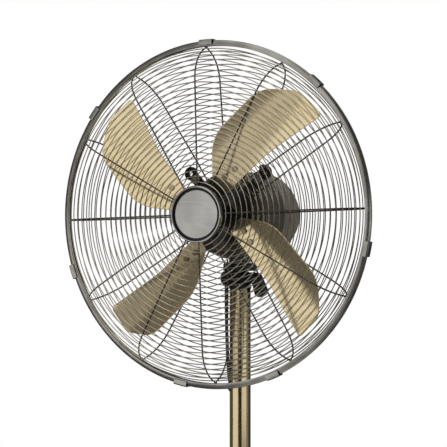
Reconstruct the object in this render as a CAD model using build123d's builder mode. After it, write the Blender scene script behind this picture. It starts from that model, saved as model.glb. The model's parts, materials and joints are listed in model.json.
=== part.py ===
from build123d import *
from math import asin, atan2, cos, degrees, hypot, pi, radians, sin, tan
import os

# Pedestal fan, millimetres. Origin on the floor under the pole, +Z up, blowing towards -Y.

# Fits
running_gap = 0.05
seat_gap = 0.1
clear_gap = 0.3

# Base
base_radius = 195
base_edge_height = 20
base_shoulder_radius = 150
base_shoulder_height = 34
base_top_height = 42
base_top_radius = 44
base_wall = 1.6
base_lip = 3.5
base_edge_bend = 9
base_shoulder_bend = 40
base_top_bend = 12
foot_height = 8
foot_radius = 11
foot_circle = 160
foot_count = 6
foot_rounding = 2
weight_radius = 174
weight_thickness = 5
weight_boss_radius = 38
weight_boss_flare = 14
weight_boss_rise = 2
flange_radius = 40
flange_thickness = 4.5
flange_boss_radius = 24
flange_boss_height = 32
flange_edge = 2
flange_flare = 6
flange_flare_height = 8
bolt_radius = 6
bolt_play = 0.5
bolt_head_size = 19
bolt_head_height = 6

# Pole
lower_tube_radius = 17.5
lower_tube_wall = 1.5
lower_tube_drop = 400
upper_tube_radius = 14
upper_tube_wall = 1.5
upper_tube_length = 470
bush_length = 60
bush_flange_height = 4
collar_radius = 26
collar_height = 38
collar_lip = 8
collar_grips = 16
collar_grip_radius = 2.2
collar_top_rounding = 4
collar_low_rounding = 2

# Control box on the lower tube
box_width = 72
box_height = 92
box_front_depth = 39
box_rear_depth = 27
box_wall = 2.5
box_rounding = 9
box_edge = 4
box_top_drop = 58
switch_size = 30
switch_depth = 15
switch_rounding = 3
switch_bore_depth = 10
knob_stem_depth = 7.5
knob_radius = 17
knob_depth = 15
knob_grip_width = 8
knob_stem_radius = 3
knob_stem_play = 1
knob_disc_depth = 5
knob_grip_inset = 2
knob_edge = 1.5
boss_radius = 5
boss_side = 26
boss_rise = 34
control_screw_radius = 2
control_screw_head_radius = 3.6
control_screw_head_depth = 2
control_screw_length = 42
control_screw_spare = 2
gland_radius = 7
gland_flange_radius = 10
gland_bore_radius = 3.6
gland_drop = 28
gland_mouth = 1.2
gland_length = 5
gland_flange_depth = 3
gland_tail = 2

# Head placing
axis_height = 1000
rim_offset = 81

# Neck and tilt
pivot_drop = 84
neck_radius = 15
neck_collar_height = 4
neck_collar_drop = 10
spigot_length = 40
fork_slot = 12.6
fork_ear = 5
fork_ear_radius = 9.5
tongue_radius = 9
tilt_bolt_radius = 3
tilt_knob_radius = 9
tilt_knob_length = 14
tilt_knob_flutes = 10
tilt_flute_radius = 1.5
tilt_flute_inset = 0.6
tilt_knob_edge = 1
handle_hub_radius = 8
handle_hub_width = 14
handle_bolt_depth = 10.5
handle_radius = 8
handle_length = 26
handle_taper = 4
handle_lean = 55
handle_rounding = 4
yoke_radius = 22.5
yoke_thickness = 10
yoke_edge = 2
washer_thickness = 1.4
washer_radius = 14
spindle_radius = 4
spindle_depth = 12
link_lug_width = 12
link_lug_thickness = 3.7
link_pin_reach = 32
link_pin_radius = 2.5
link_thickness = 3
link_width = 10

# Motor, as radii about the fan axis and distances behind the rim plane
motor_radius = 58
motor_front = 48
motor_split = 98
motor_wall = 2.5
motor_front_wall = 3
motor_rounding = 8
motor_boss_radius = 15
motor_boss_drop = 4.6
cover_wall = 2
cover_shoulder = 140
cover_end = 172
cover_end_radius = 44
cover_rounding = 14
vent_count = 10
vent_circle = 26
vent_length = 18
vent_width = 3.2
shaft_radius = 4
bearing_radius = 8
bearing_housing_radius = 14
front_bearing_length = 14
rear_bearing_length = 11
stator_front = 72
stator_length = 32
stator_bore_radius = 31
rotor_air_gap = 0.4
winding_inner_radius = 33
winding_outer_radius = 47
winding_length = 6
rear_plate_front = 113
rear_plate_thickness = 4
motor_screw_circle = 44
motor_screw_count = 4
motor_screw_head_radius = 4
motor_screw_head_height = 2.5
motor_screw_radius = 2
motor_screw_edge = 1
capacitor_width = 16
capacitor_height = 36
capacitor_length = 26
capacitor_side = 28
capacitor_rounding = 3

# Gear case and oscillation drive
case_left = 12
case_right = 34
case_low = 14
case_high = 18
case_length = 41
case_wall = 3
case_rounding = 4
worm_radius = 5
worm_front = 126
worm_length = 16
wheel_radius = 12
wheel_thickness = 6
wheel_teeth = 30
wheel_tooth_depth = 1
wheel_tooth_gap = 1.2
wheel_spindle_radius = 3
crank_radius = 13
crank_thickness = 4
crank_throw = 9
crank_pin_radius = 2.5
crank_drop = 59
osc_knob_behind = 152
osc_knob_radius = 7
osc_knob_height = 11
osc_knob_rise = 59
osc_stem_radius = 3
osc_stem_low = 8
osc_knob_edge = 3

# Guards, as radii about the fan axis and distances from the rim plane
rim_radius = 225
band_width = 9
band_depth = 7.5
band_wall = 1
band_rounding = 4
rim_wire_radius = 1.5
rim_wire_inset = 4
ring_wire_radius = 0.7
ring_wire_sides = 8
spoke_radius = 1
weld_depth = 0.2
ring_pitch = 7.5
spoke_count = 12
spoke_turn = 1.8
spoke_tail_inset = 9.5
front_corner_inset = 22.8
front_corner_reach = 32.5
front_bend = 45
front_centre_reach = 34.5
front_spoke_end = 27
front_inner_ring = 40.9
rear_corner_inset = 23.6
rear_corner_reach = 32.5
rear_bend = 45
rear_flat_radius = 84
rear_flat_bend = 60
rear_spoke_end = 36
rear_inner_ring = 39.7
tail_bend = 3
ring_margin = 9
clip_angles = (48.0, 91.4, 142.2, 199.9, 258.9, 294.0, 348.8)
clip_length = 19
clip_thickness = 1.4

# Guard bracket on the motor front
bracket_ring_outer = 34
bracket_ring_inner = 20
bracket_thickness = 4
bracket_arm_width = 13
bracket_reach = 78
bracket_end_radius = 9
bracket_eye_radius = 3.2
bracket_arm_turn = 45
bracket_arm_count = 4
guard_screw_rings = 3.5
guard_screw_radius = 2
guard_washer_radius = 6
guard_screw_head_height = 3
guard_screw_head_radius = 3.9
guard_washer_thickness = 1

# Badge
badge_radius = 36.5
badge_lip = 4
badge_depth = 5.5
badge_floor = 1.5
badge_plate_thickness = 2
badge_back_thickness = 2
badge_post_radius = 5
bezel_outer_edge = 1.5
bezel_inner_edge = 1
badge_plate_edge = 1

# Blades, along (u) and across (v) each blade; the pressing curves forward towards its trailing edge
blade_count = 4
blade_turn = 45
blade_thickness = 1.2
blade_tip_gap = 27
blade_root = 34
blade_root_lead = 4
blade_root_trail = 28
blade_root_corner = 3
blade_bow_along = 110
blade_bow_across = -2
blade_bow_bend = 180
blade_tip_inset = 0.5
blade_tip_lead = -22.5
blade_tip_corner = 5
blade_tip_bulge = 1
blade_tip_across = 20
blade_tip_bend = 25
blade_shoulder_inset = 30
blade_shoulder_across = 57
blade_shoulder_bend = 42
blade_heel_along = 78
blade_heel_across = 62
blade_heel_bend = 60
blade_lead_edge = -26
blade_trail_edge = 64
blade_lead_reach = -6
blade_middle_reach = 1.66
blade_trail_reach = 20.5
hub_radius = 20
hub_front = 16
hub_rear = -14
hub_edge = 4
arm_end = 78
arm_root_lead = 2
arm_root_trail = 30
arm_tip_lead = 8
arm_tip_trail = 28
arm_corner = 4
arm_thickness = 2
rivet_radius = 2
rivet_play = 0.6
rivet_head_radius = 4
rivet_head_height = 1.6
rivet_inner = (50, 20)
rivet_outer = (66, 16)
nut_radius = 10
nut_length = 8
nut_edge = 3
nut_bore_depth = 6.6
shaft_tip = 6

# Motor lead beside the pole
lead_radius = 2.3
lead_side = -14.4
lead_forward = 12.5
lead_straight_end = 222
lead_drop = 18
lead_inner_radius = 4
lead_entry = 5
lead_hole_depth = 7
grommet_radius = 4.6
grommet_bore_radius = 2.8
grommet_length = 8
corner_share = 0.45

# Values worked out from the sizes above
rim_wire_circle = rim_radius - rim_wire_inset
spoke_tail = rim_radius - spoke_tail_inset
front_corner_radius = rim_radius - front_corner_inset
rear_corner_radius = rim_radius - rear_corner_inset
blade_tip_radius = rim_radius - blade_tip_gap
blade_shoulder_along = blade_tip_radius - blade_shoulder_inset
lower_tube_top = axis_height - lower_tube_drop
pole_top = axis_height - pivot_drop - neck_collar_drop - neck_collar_height
pivot_height = axis_height - pivot_drop
yoke_top = axis_height - motor_radius - washer_thickness - motor_boss_drop
yoke_low = yoke_top - yoke_thickness
boss_low = yoke_top + washer_thickness + clear_gap
weight_low = foot_height
cover_skin = base_top_height + base_wall / 2
tube_seat = cover_skin + flange_thickness
collar_low = lower_tube_top + bush_flange_height + clear_gap + collar_lip - collar_height
box_top = lower_tube_top - box_top_drop
box_centre = box_top - box_height / 2
ear_outer = fork_slot / 2 + fork_ear

fan = Plane(origin=(0, -rim_offset, axis_height), x_dir=(1, 0, 0), z_dir=(0, -1, 0))
fan_section = Plane(origin=fan.origin, x_dir=(1, 0, 0), z_dir=(0, 0, -1))
fan_axis = Axis(fan.origin, fan.z_dir)
pivot_side = Plane(origin=(0, 0, pivot_height), x_dir=(0, 1, 0), z_dir=(1, 0, 0))
low = (Align.CENTER, Align.CENTER, Align.MIN)
high = (Align.CENTER, Align.CENTER, Align.MAX)

os.makedirs("parts", exist_ok=True)


def save(piece, name):
    piece.part.label = name
    export_step(piece.part, f"parts/{name}.step")


def turned(plane, axis, *corners):
    # A solid of revolution from the corners of its half section.
    with BuildPart() as solid:
        with BuildSketch(plane):
            with BuildLine():
                Polyline(*corners, close=True)
            make_face()
        revolve(axis=axis)
    return solid


# Base cover, a pressed dome open underneath
with BuildPart() as base_cover:
    with BuildSketch(Plane.XZ):
        with BuildLine():
            FilletPolyline(
                (base_radius - base_wall / 2, base_lip),
                (base_radius - base_wall / 2, base_edge_height),
                (base_shoulder_radius, base_shoulder_height),
                (base_top_radius, base_top_height),
                (bolt_radius + bolt_play, base_top_height),
                radius=(base_edge_bend, base_shoulder_bend, base_top_bend),
            )
        trace(line_width=base_wall)
    revolve(axis=Axis.Z)
save(base_cover, "base_cover")

base_weight = turned(
    Plane.XZ,
    Axis.Z,
    (bolt_radius + bolt_play, weight_low),
    (weight_radius, weight_low),
    (weight_radius, weight_low + weight_thickness),
    (weight_boss_radius + weight_boss_flare, weight_low + weight_thickness + weight_boss_rise),
    (weight_boss_radius, base_top_height - base_wall / 2),
    (bolt_radius + bolt_play, base_top_height - base_wall / 2),
)
save(base_weight, "base_weight")

with BuildPart() as base_feet:
    with PolarLocations(foot_circle, foot_count):
        Cylinder(foot_radius, foot_height, align=low)
    fillet(base_feet.edges().group_by(Axis.Z)[0], foot_rounding)
save(base_feet, "base_feet")

pole_flange = turned(
    Plane.XZ,
    Axis.Z,
    (bolt_radius + running_gap, cover_skin),
    (flange_radius, cover_skin),
    (flange_radius, cover_skin + flange_edge),
    (flange_boss_radius + flange_flare, tube_seat + flange_edge),
    (flange_boss_radius, tube_seat + flange_edge + flange_flare_height),
    (flange_boss_radius, cover_skin + flange_boss_height),
    (lower_tube_radius + running_gap, cover_skin + flange_boss_height),
    (lower_tube_radius + running_gap, tube_seat),
    (bolt_radius + running_gap, tube_seat),
)
save(pole_flange, "pole_flange")

with BuildPart() as base_bolt:
    with BuildSketch(Plane.XY.offset(weight_low)):
        RegularPolygon(bolt_head_size / 2, 6, major_radius=False)
    extrude(amount=-bolt_head_height)
    with BuildSketch(Plane.XY.offset(weight_low)):
        Circle(bolt_radius)
    extrude(amount=tube_seat - weight_low)
save(base_bolt, "base_bolt")

# Lower tube, guide bush and height collar
lower_tube_bore = lower_tube_radius - lower_tube_wall

lower_tube = turned(
    Plane.XZ,
    Axis.Z,
    (lower_tube_bore, tube_seat),
    (lower_tube_radius, tube_seat),
    (lower_tube_radius, lower_tube_top),
    (lower_tube_bore, lower_tube_top),
)
save(lower_tube, "lower_tube")

bush_bore = upper_tube_radius + running_gap
bush_top = lower_tube_top + bush_flange_height

guide_bush = turned(
    Plane.XZ,
    Axis.Z,
    (bush_bore, lower_tube_top - bush_length),
    (lower_tube_bore - running_gap, lower_tube_top - bush_length),
    (lower_tube_bore - running_gap, lower_tube_top),
    (lower_tube_radius, lower_tube_top),
    (lower_tube_radius, bush_top),
    (bush_bore, bush_top),
)
save(guide_bush, "guide_bush")

with BuildPart() as height_collar:
    with BuildSketch(Plane.XY.offset(collar_low)):
        Circle(collar_radius)
    extrude(amount=collar_height)
    fillet(height_collar.edges().group_by(Axis.Z)[-1], collar_top_rounding)
    fillet(height_collar.edges().group_by(Axis.Z)[0], collar_low_rounding)
    with BuildSketch(Plane.XY.offset(collar_low)):
        with PolarLocations(collar_radius + collar_grip_radius / 2, collar_grips):
            Circle(collar_grip_radius)
    extrude(amount=collar_height - collar_lip, mode=Mode.SUBTRACT)
    with BuildSketch(Plane.XY.offset(collar_low)):
        Circle(lower_tube_radius + clear_gap)
    extrude(amount=collar_height - collar_lip, mode=Mode.SUBTRACT)
    with BuildSketch(Plane.XY.offset(collar_low)):
        Circle(upper_tube_radius + clear_gap)
    extrude(amount=collar_height, mode=Mode.SUBTRACT)
save(height_collar, "height_collar")


# Control box: two shells clamped round the lower tube
def box_shell(depth, side):
    # One half: an open box, side is -1 for the front half and 1 for the rear half.
    with BuildPart() as half:
        with BuildSketch(Plane.XZ):
            with Locations((0, box_centre)):
                RectangleRounded(box_width, box_height, box_rounding)
        extrude(amount=-side * depth)
        outer = half.faces().sort_by(Axis.Y)[-1 if side > 0 else 0]
        fillet(outer.edges(), box_edge)
        with BuildSketch(Plane.XZ):
            with Locations((0, box_centre)):
                RectangleRounded(
                    box_width - 2 * box_wall, box_height - 2 * box_wall, box_rounding - box_wall
                )
        extrude(amount=-side * (depth - box_wall), mode=Mode.SUBTRACT)
        with BuildSketch(Plane.XZ):
            with Locations((0, box_centre)):
                with GridLocations(2 * boss_side, 2 * boss_rise, 2, 2):
                    Circle(boss_radius)
        extrude(amount=-side * (depth - box_wall / 2))
        with BuildSketch(Plane.XY.offset(box_top - box_height)):
            Circle(lower_tube_radius + seat_gap)
        extrude(amount=box_height, mode=Mode.SUBTRACT)
        with BuildSketch(Plane.XZ):
            with Locations((0, box_centre)):
                with GridLocations(2 * boss_side, 2 * boss_rise, 2, 2):
                    Circle(control_screw_radius + running_gap)
        reach = depth if side > 0 else control_screw_length - box_rear_depth + control_screw_spare
        extrude(amount=-side * reach, mode=Mode.SUBTRACT)
    return half


front_half = box_shell(box_front_depth, -1)
with BuildPart() as control_front:
    add(front_half.part)
    with BuildSketch(Plane.XZ.offset(box_front_depth)):
        with Locations((0, box_centre)):
            Circle(knob_stem_radius + knob_stem_play)
    extrude(amount=-box_wall, mode=Mode.SUBTRACT)
save(control_front, "control_front")

rear_half = box_shell(box_rear_depth, 1)
with BuildPart() as control_rear:
    add(rear_half.part)
    with BuildSketch(Plane.XZ.offset(-box_rear_depth)):
        with Locations((0, box_centre)):
            with GridLocations(2 * boss_side, 2 * boss_rise, 2, 2):
                Circle(control_screw_head_radius + running_gap)
    extrude(amount=control_screw_head_depth, mode=Mode.SUBTRACT)
    with BuildSketch(Plane.XZ.offset(-box_rear_depth)):
        with Locations((0, box_centre - gland_drop)):
            Circle(gland_radius + running_gap)
    extrude(amount=box_wall, mode=Mode.SUBTRACT)
save(control_rear, "control_rear")

with BuildPart() as control_screws:
    with BuildSketch(Plane.XZ.offset(-box_rear_depth)):
        with Locations((0, box_centre)):
            with GridLocations(2 * boss_side, 2 * boss_rise, 2, 2):
                Circle(control_screw_head_radius)
    extrude(amount=control_screw_head_depth)
    with BuildSketch(Plane.XZ.offset(-box_rear_depth)):
        with Locations((0, box_centre)):
            with GridLocations(2 * boss_side, 2 * boss_rise, 2, 2):
                Circle(control_screw_radius)
    extrude(amount=control_screw_length)
save(control_screws, "control_screws")

gland_section = Plane(
    origin=(0, box_rear_depth, box_centre - gland_drop), x_dir=(1, 0, 0), z_dir=(0, 0, -1)
)
inlet_gland = turned(
    gland_section,
    Axis(gland_section.origin, (0, 1, 0)),
    (gland_bore_radius, -gland_length),
    (gland_bore_radius + gland_mouth, -gland_length),
    (gland_flange_radius, -gland_flange_depth),
    (gland_flange_radius, 0),
    (gland_radius, 0),
    (gland_radius, box_wall + gland_tail),
    (gland_bore_radius, box_wall + gland_tail),
)
save(inlet_gland, "inlet_gland")

switch_front = box_front_depth - box_wall - seat_gap
with BuildPart() as rotary_switch:
    with BuildSketch(Plane.XZ.offset(switch_front)):
        with Locations((0, box_centre)):
            RectangleRounded(switch_size, switch_size, switch_rounding)
    extrude(amount=-switch_depth)
    with BuildSketch(Plane.XZ.offset(switch_front)):
        with Locations((0, box_centre)):
            Circle(knob_stem_radius + running_gap)
    extrude(amount=-switch_bore_depth, mode=Mode.SUBTRACT)
save(rotary_switch, "rotary_switch")

with BuildPart() as speed_knob:
    with BuildSketch(Plane.XZ.offset(box_front_depth + clear_gap)):
        with Locations((0, box_centre)):
            Circle(knob_radius)
    extrude(amount=knob_disc_depth)
    with BuildSketch(Plane.XZ.offset(box_front_depth + clear_gap)):
        with Locations((0, box_centre)):
            SlotOverall(2 * knob_radius - knob_grip_inset, knob_grip_width, rotation=90)
    extrude(amount=knob_depth)
    fillet(speed_knob.faces().sort_by(Axis.Y)[0].edges(), knob_edge)
    with BuildSketch(Plane.XZ.offset(box_front_depth + clear_gap)):
        with Locations((0, box_centre)):
            Circle(knob_stem_radius)
    extrude(amount=-(clear_gap + box_wall + seat_gap + knob_stem_depth))
save(speed_knob, "speed_knob")

# Motor lead: straight down beside the pole, then through the grommet into the pole
lead_radius_out = hypot(lead_side, lead_forward)
lead_inside = lead_inner_radius / lead_radius_out
lead_points = (
    Vector(lead_side, -lead_forward, yoke_low + lead_entry),
    Vector(lead_side, -lead_forward, axis_height - lead_straight_end),
    Vector(
        lead_side * lead_inside,
        -lead_forward * lead_inside,
        axis_height - lead_straight_end - lead_drop,
    ),
    Vector(
        lead_side * lead_inside,
        -lead_forward * lead_inside,
        axis_height - lead_straight_end - 2 * lead_drop,
    ),
)
lead_runs = [after - before for before, after in zip(lead_points, lead_points[1:])]
lead_bends = []
for before, after in zip(lead_runs, lead_runs[1:]):
    turn = radians(before.get_angle(after))
    lead_bends.append(corner_share * min(before.length, after.length) / tan(turn / 2))
print("motor lead bend radii", [round(bend, 1) for bend in lead_bends])

with BuildPart() as motor_lead:
    with BuildLine() as lead_route:
        FilletPolyline(*lead_points, radius=lead_bends)
    with BuildSketch(Plane(lead_points[0], z_dir=lead_runs[0])):
        Circle(lead_radius)
    sweep()
lead_length = lead_route.wires()[0].length
lead_share = motor_lead.part.volume / (pi * lead_radius**2 * lead_length)
print("motor lead length", round(lead_length, 1), "volume share", round(lead_share, 4))
save(motor_lead, "motor_lead")

# Upper tube with the slanted grommet hole
upper_tube_bore = upper_tube_radius - upper_tube_wall
wall_share = (lead_radius_out - upper_tube_radius + upper_tube_wall / 2) / (
    lead_radius_out - lead_inner_radius
)
grommet_centre = lead_points[1] + lead_runs[1] * wall_share
grommet_plane = Plane(grommet_centre, z_dir=lead_runs[1])

with BuildPart() as upper_tube:
    with BuildSketch(Plane.XY.offset(pole_top)):
        Circle(upper_tube_radius)
        Circle(upper_tube_bore, mode=Mode.SUBTRACT)
    extrude(amount=-upper_tube_length)
    with BuildSketch(grommet_plane):
        Circle(grommet_radius + running_gap)
    extrude(amount=grommet_length, both=True, mode=Mode.SUBTRACT)
save(upper_tube, "upper_tube")

with BuildPart() as lead_grommet:
    with BuildSketch(grommet_plane):
        Circle(grommet_radius)
        Circle(grommet_bore_radius, mode=Mode.SUBTRACT)
    extrude(amount=grommet_length / 2, both=True)
save(lead_grommet, "lead_grommet")

# Neck fork: a spigot in the tube, a collar on its end and two ears
with BuildPart() as neck_fork:
    with BuildSketch(Plane.XY.offset(pole_top)):
        Circle(upper_tube_bore - running_gap)
    extrude(amount=-spigot_length)
    with BuildSketch(Plane.XY.offset(pole_top)):
        Circle(neck_radius)
    extrude(amount=neck_collar_height)
    with BuildSketch(pivot_side):
        Circle(fork_ear_radius)
        with Locations((0, -neck_collar_drop / 2)):
            Rectangle(2 * fork_ear_radius, neck_collar_drop)
    extrude(amount=ear_outer, both=True)
    with BuildSketch(pivot_side):
        Rectangle(4 * fork_ear_radius, 2 * neck_collar_drop)
    extrude(amount=fork_slot / 2, both=True, mode=Mode.SUBTRACT)
    with BuildSketch(pivot_side):
        Circle(tilt_bolt_radius + running_gap)
    extrude(amount=2 * ear_outer, both=True, mode=Mode.SUBTRACT)
save(neck_fork, "neck_fork")

knob_inner = ear_outer + clear_gap
with BuildPart() as tilt_bolt:
    with BuildSketch(pivot_side.offset(-knob_inner - tilt_knob_length / 2)):
        Circle(tilt_bolt_radius)
    extrude(amount=2 * knob_inner + tilt_knob_length / 2 + handle_bolt_depth)
save(tilt_bolt, "tilt_bolt")

with BuildPart() as tilt_knob:
    with BuildSketch(pivot_side.offset(-knob_inner)):
        Circle(tilt_knob_radius)
        with PolarLocations(tilt_knob_radius + tilt_flute_inset, tilt_knob_flutes):
            Circle(tilt_flute_radius, mode=Mode.SUBTRACT)
    extrude(amount=-tilt_knob_length)
    fillet(tilt_knob.faces().sort_by(Axis.X)[0].edges(), tilt_knob_edge)
    with BuildSketch(pivot_side.offset(-knob_inner)):
        Circle(tilt_bolt_radius + running_gap)
    extrude(amount=-tilt_knob_length / 2, mode=Mode.SUBTRACT)
save(tilt_knob, "tilt_knob")

# Tilt handle: a hub on the bolt's right end with a fat leaning grip
handle_end_radius = handle_radius + handle_length * tan(radians(handle_taper))
handle_side = neck_radius + clear_gap + handle_end_radius
handle_dir = Vector(0, cos(radians(handle_lean)), -sin(radians(handle_lean)))
handle_start = Vector(handle_side, 0, pivot_height)
with BuildPart() as tilt_handle:
    with BuildSketch(pivot_side.offset(knob_inner)):
        Circle(handle_hub_radius)
    extrude(amount=handle_hub_width)
    with BuildSketch(Plane(handle_start, z_dir=handle_dir)):
        Circle(handle_radius)
    extrude(amount=handle_length, taper=-handle_taper)
    fillet(tilt_handle.faces().sort_by(Axis(handle_start, handle_dir))[-1].edges(), handle_rounding)
    with BuildSketch(pivot_side.offset(knob_inner)):
        Circle(tilt_bolt_radius + running_gap)
    extrude(amount=handle_bolt_depth + running_gap, mode=Mode.SUBTRACT)
save(tilt_handle, "tilt_handle")

# Tilt bracket: tongue in the fork, round head plate, lug for the oscillation link
with BuildPart() as tilt_bracket:
    with BuildSketch(pivot_side):
        Circle(tongue_radius)
        with Locations((0, (yoke_low - pivot_height) / 2)):
            Rectangle(2 * tongue_radius, yoke_low - pivot_height)
    extrude(amount=fork_slot / 2 - clear_gap, both=True)
    with BuildSketch(Plane.XY.offset(yoke_low)):
        Circle(yoke_radius)
    extrude(amount=yoke_thickness)
    fillet(tilt_bracket.edges().group_by(Axis.Z)[-1], yoke_edge)
    with BuildSketch(Plane.XY.offset(yoke_low)):
        with Locations((0, link_pin_reach / 2)):
            SlotCenterToCenter(link_pin_reach, link_lug_width, rotation=90)
    extrude(amount=link_lug_thickness)
    with BuildSketch(Plane.XY.offset(yoke_low)):
        with Locations((0, link_pin_reach)):
            Circle(link_pin_radius)
    extrude(amount=link_lug_thickness + 2 * clear_gap + link_thickness)
    with BuildSketch(pivot_side):
        Circle(tilt_bolt_radius + running_gap)
    extrude(amount=2 * ear_outer, both=True, mode=Mode.SUBTRACT)
    with BuildSketch(Plane.XY.offset(yoke_top)):
        Circle(spindle_radius + running_gap)
    extrude(amount=-spindle_depth - clear_gap, mode=Mode.SUBTRACT)
    with BuildSketch(Plane.XY.offset(yoke_low)):
        with Locations((lead_side, -lead_forward)):
            Circle(lead_radius + seat_gap)
    extrude(amount=lead_hole_depth, mode=Mode.SUBTRACT)
save(tilt_bracket, "tilt_bracket")

with BuildPart() as thrust_washer:
    with BuildSketch(Plane.XY.offset(yoke_top)):
        Circle(washer_radius)
        Circle(spindle_radius + clear_gap, mode=Mode.SUBTRACT)
    extrude(amount=washer_thickness)
save(thrust_washer, "thrust_washer")

# Oscillation drive under the motor
wheel_side = worm_radius + wheel_radius + clear_gap
wheel_back = worm_front + worm_length / 2 - rim_offset
crank_top = axis_height - crank_drop
crank_low = crank_top - crank_thickness
link_low = yoke_low + link_lug_thickness + clear_gap

with BuildPart() as osc_link:
    pin_eye = Vector(0, link_pin_reach)
    crank_eye = Vector(wheel_side, wheel_back + crank_throw)
    span = crank_eye - pin_eye
    with BuildSketch(Plane.XY.offset(link_low)):
        with Locations((pin_eye + crank_eye) * 0.5):
            SlotCenterToCenter(span.length, link_width, rotation=degrees(atan2(span.Y, span.X)))
        with Locations(pin_eye):
            Circle(link_pin_radius + running_gap, mode=Mode.SUBTRACT)
        with Locations(crank_eye):
            Circle(crank_pin_radius + running_gap, mode=Mode.SUBTRACT)
    extrude(amount=link_thickness)
save(osc_link, "osc_link")

with BuildPart() as worm_wheel:
    with BuildSketch(Plane.XY.offset(axis_height - wheel_thickness / 2)):
        with Locations((wheel_side, wheel_back)):
            Circle(wheel_radius)
            with PolarLocations(wheel_radius, wheel_teeth):
                Rectangle(2 * wheel_tooth_depth, wheel_tooth_gap, mode=Mode.SUBTRACT)
            Circle(wheel_spindle_radius + running_gap, mode=Mode.SUBTRACT)
    extrude(amount=wheel_thickness)
save(worm_wheel, "worm_wheel")

with BuildPart() as crank:
    with BuildSketch(Plane.XY.offset(crank_low)):
        with Locations((wheel_side, wheel_back)):
            Circle(crank_radius)
    extrude(amount=crank_thickness)
    with BuildSketch(Plane.XY.offset(crank_low)):
        with Locations((wheel_side, wheel_back)):
            Circle(wheel_spindle_radius)
    extrude(amount=axis_height + wheel_thickness - crank_low)
    with BuildSketch(Plane.XY.offset(crank_low)):
        with Locations((wheel_side, wheel_back + crank_throw)):
            Circle(crank_pin_radius)
    extrude(amount=-(crank_low - link_low - link_thickness - clear_gap))
save(crank, "crank")

# Motor housing
with BuildPart() as motor_front_shield:
    with BuildSketch(fan_section):
        with BuildLine():
            Polyline(
                (bearing_radius, -motor_front),
                (motor_radius, -motor_front),
                (motor_radius, -motor_split),
                (bearing_radius, -motor_split),
                close=True,
            )
        make_face()
    revolve(axis=fan_axis)
    fillet(motor_front_shield.faces().sort_by(Axis.Y)[0].outer_wire().edges(), motor_rounding)
    with BuildSketch(Plane.XY.offset(boss_low)):
        Circle(motor_boss_radius)
    extrude(amount=motor_radius / 2)
    with BuildSketch(fan_section):
        with BuildLine():
            Polyline(
                (0, -motor_front - motor_front_wall),
                (motor_radius - motor_wall, -motor_front - motor_front_wall),
                (motor_radius - motor_wall, -motor_split),
                (0, -motor_split),
                close=True,
            )
        make_face()
    revolve(axis=fan_axis, mode=Mode.SUBTRACT)
    with BuildSketch(fan.offset(-motor_front)):
        Circle(bearing_housing_radius)
        Circle(bearing_radius, mode=Mode.SUBTRACT)
    extrude(amount=-front_bearing_length)
    with BuildSketch(fan.offset(-motor_front)):
        with PolarLocations(motor_screw_circle, motor_screw_count):
            Circle(motor_screw_radius + running_gap)
    extrude(amount=-motor_front_wall, mode=Mode.SUBTRACT)
    with BuildSketch(Plane.XY.offset(boss_low)):
        Circle(spindle_radius + running_gap / 2)
    extrude(amount=spindle_depth / 2, mode=Mode.SUBTRACT)
save(motor_front_shield, "motor_front_shield")

with BuildPart() as osc_spindle:
    with BuildSketch(Plane.XY.offset(yoke_top - spindle_depth)):
        Circle(spindle_radius)
    extrude(amount=spindle_depth + washer_thickness + clear_gap + spindle_depth / 2)
save(osc_spindle, "osc_spindle")

cover_line = motor_radius - cover_wall / 2
osc_knob_back = osc_knob_behind - rim_offset
with BuildPart() as motor_rear_cover:
    with BuildSketch(fan_section):
        with BuildLine():
            FilletPolyline(
                (cover_line, -motor_split - seat_gap),
                (cover_line, -cover_shoulder),
                (cover_end_radius, -cover_end),
                (0, -cover_end),
                radius=cover_rounding,
            )
        trace(line_width=cover_wall)
    revolve(axis=fan_axis)
    with BuildSketch(fan.offset(-cover_end - cover_wall)):
        with PolarLocations(vent_circle, vent_count):
            SlotOverall(vent_length, vent_width)
    extrude(amount=2 * cover_wall, mode=Mode.SUBTRACT)
    with BuildSketch(Plane.XY.offset(axis_height)):
        with Locations((0, osc_knob_back)):
            Circle(osc_stem_radius + clear_gap)
    extrude(amount=motor_radius, mode=Mode.SUBTRACT)
    with BuildSketch(Plane.XY.offset(axis_height)):
        with Locations((wheel_side, wheel_back)):
            Circle(wheel_spindle_radius + clear_gap)
    extrude(amount=-motor_radius, mode=Mode.SUBTRACT)
save(motor_rear_cover, "motor_rear_cover")

stator_core = turned(
    fan_section,
    fan_axis,
    (stator_bore_radius, -stator_front),
    (motor_radius - motor_wall - seat_gap, -stator_front),
    (motor_radius - motor_wall - seat_gap, -stator_front - stator_length),
    (stator_bore_radius, -stator_front - stator_length),
)
save(stator_core, "stator_core")

with BuildPart() as stator_windings:
    for start in (-stator_front + winding_length, -stator_front - stator_length):
        with BuildSketch(fan.offset(start)):
            Circle(winding_outer_radius)
            Circle(winding_inner_radius, mode=Mode.SUBTRACT)
        extrude(amount=-winding_length)
save(stator_windings, "stator_windings")

with BuildPart() as rear_plate:
    with BuildSketch(fan.offset(-rear_plate_front)):
        Circle(motor_radius - cover_wall - seat_gap)
    extrude(amount=-rear_plate_thickness)
    with BuildSketch(fan.offset(-rear_plate_front)):
        Circle(bearing_housing_radius)
    extrude(amount=rear_bearing_length - rear_plate_thickness)
    with BuildSketch(fan.offset(-rear_plate_front - rear_plate_thickness)):
        Circle(bearing_radius + running_gap / 2)
    extrude(amount=rear_bearing_length, mode=Mode.SUBTRACT)
save(rear_plate, "rear_plate")

with BuildPart() as shaft_bearings:
    with BuildSketch(fan.offset(-motor_front)):
        Circle(bearing_radius - running_gap / 2)
        Circle(shaft_radius + running_gap, mode=Mode.SUBTRACT)
    extrude(amount=-front_bearing_length)
    with BuildSketch(fan.offset(-rear_plate_front - rear_plate_thickness)):
        Circle(bearing_radius)
        Circle(shaft_radius + running_gap, mode=Mode.SUBTRACT)
    extrude(amount=rear_bearing_length)
save(shaft_bearings, "shaft_bearings")

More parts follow.
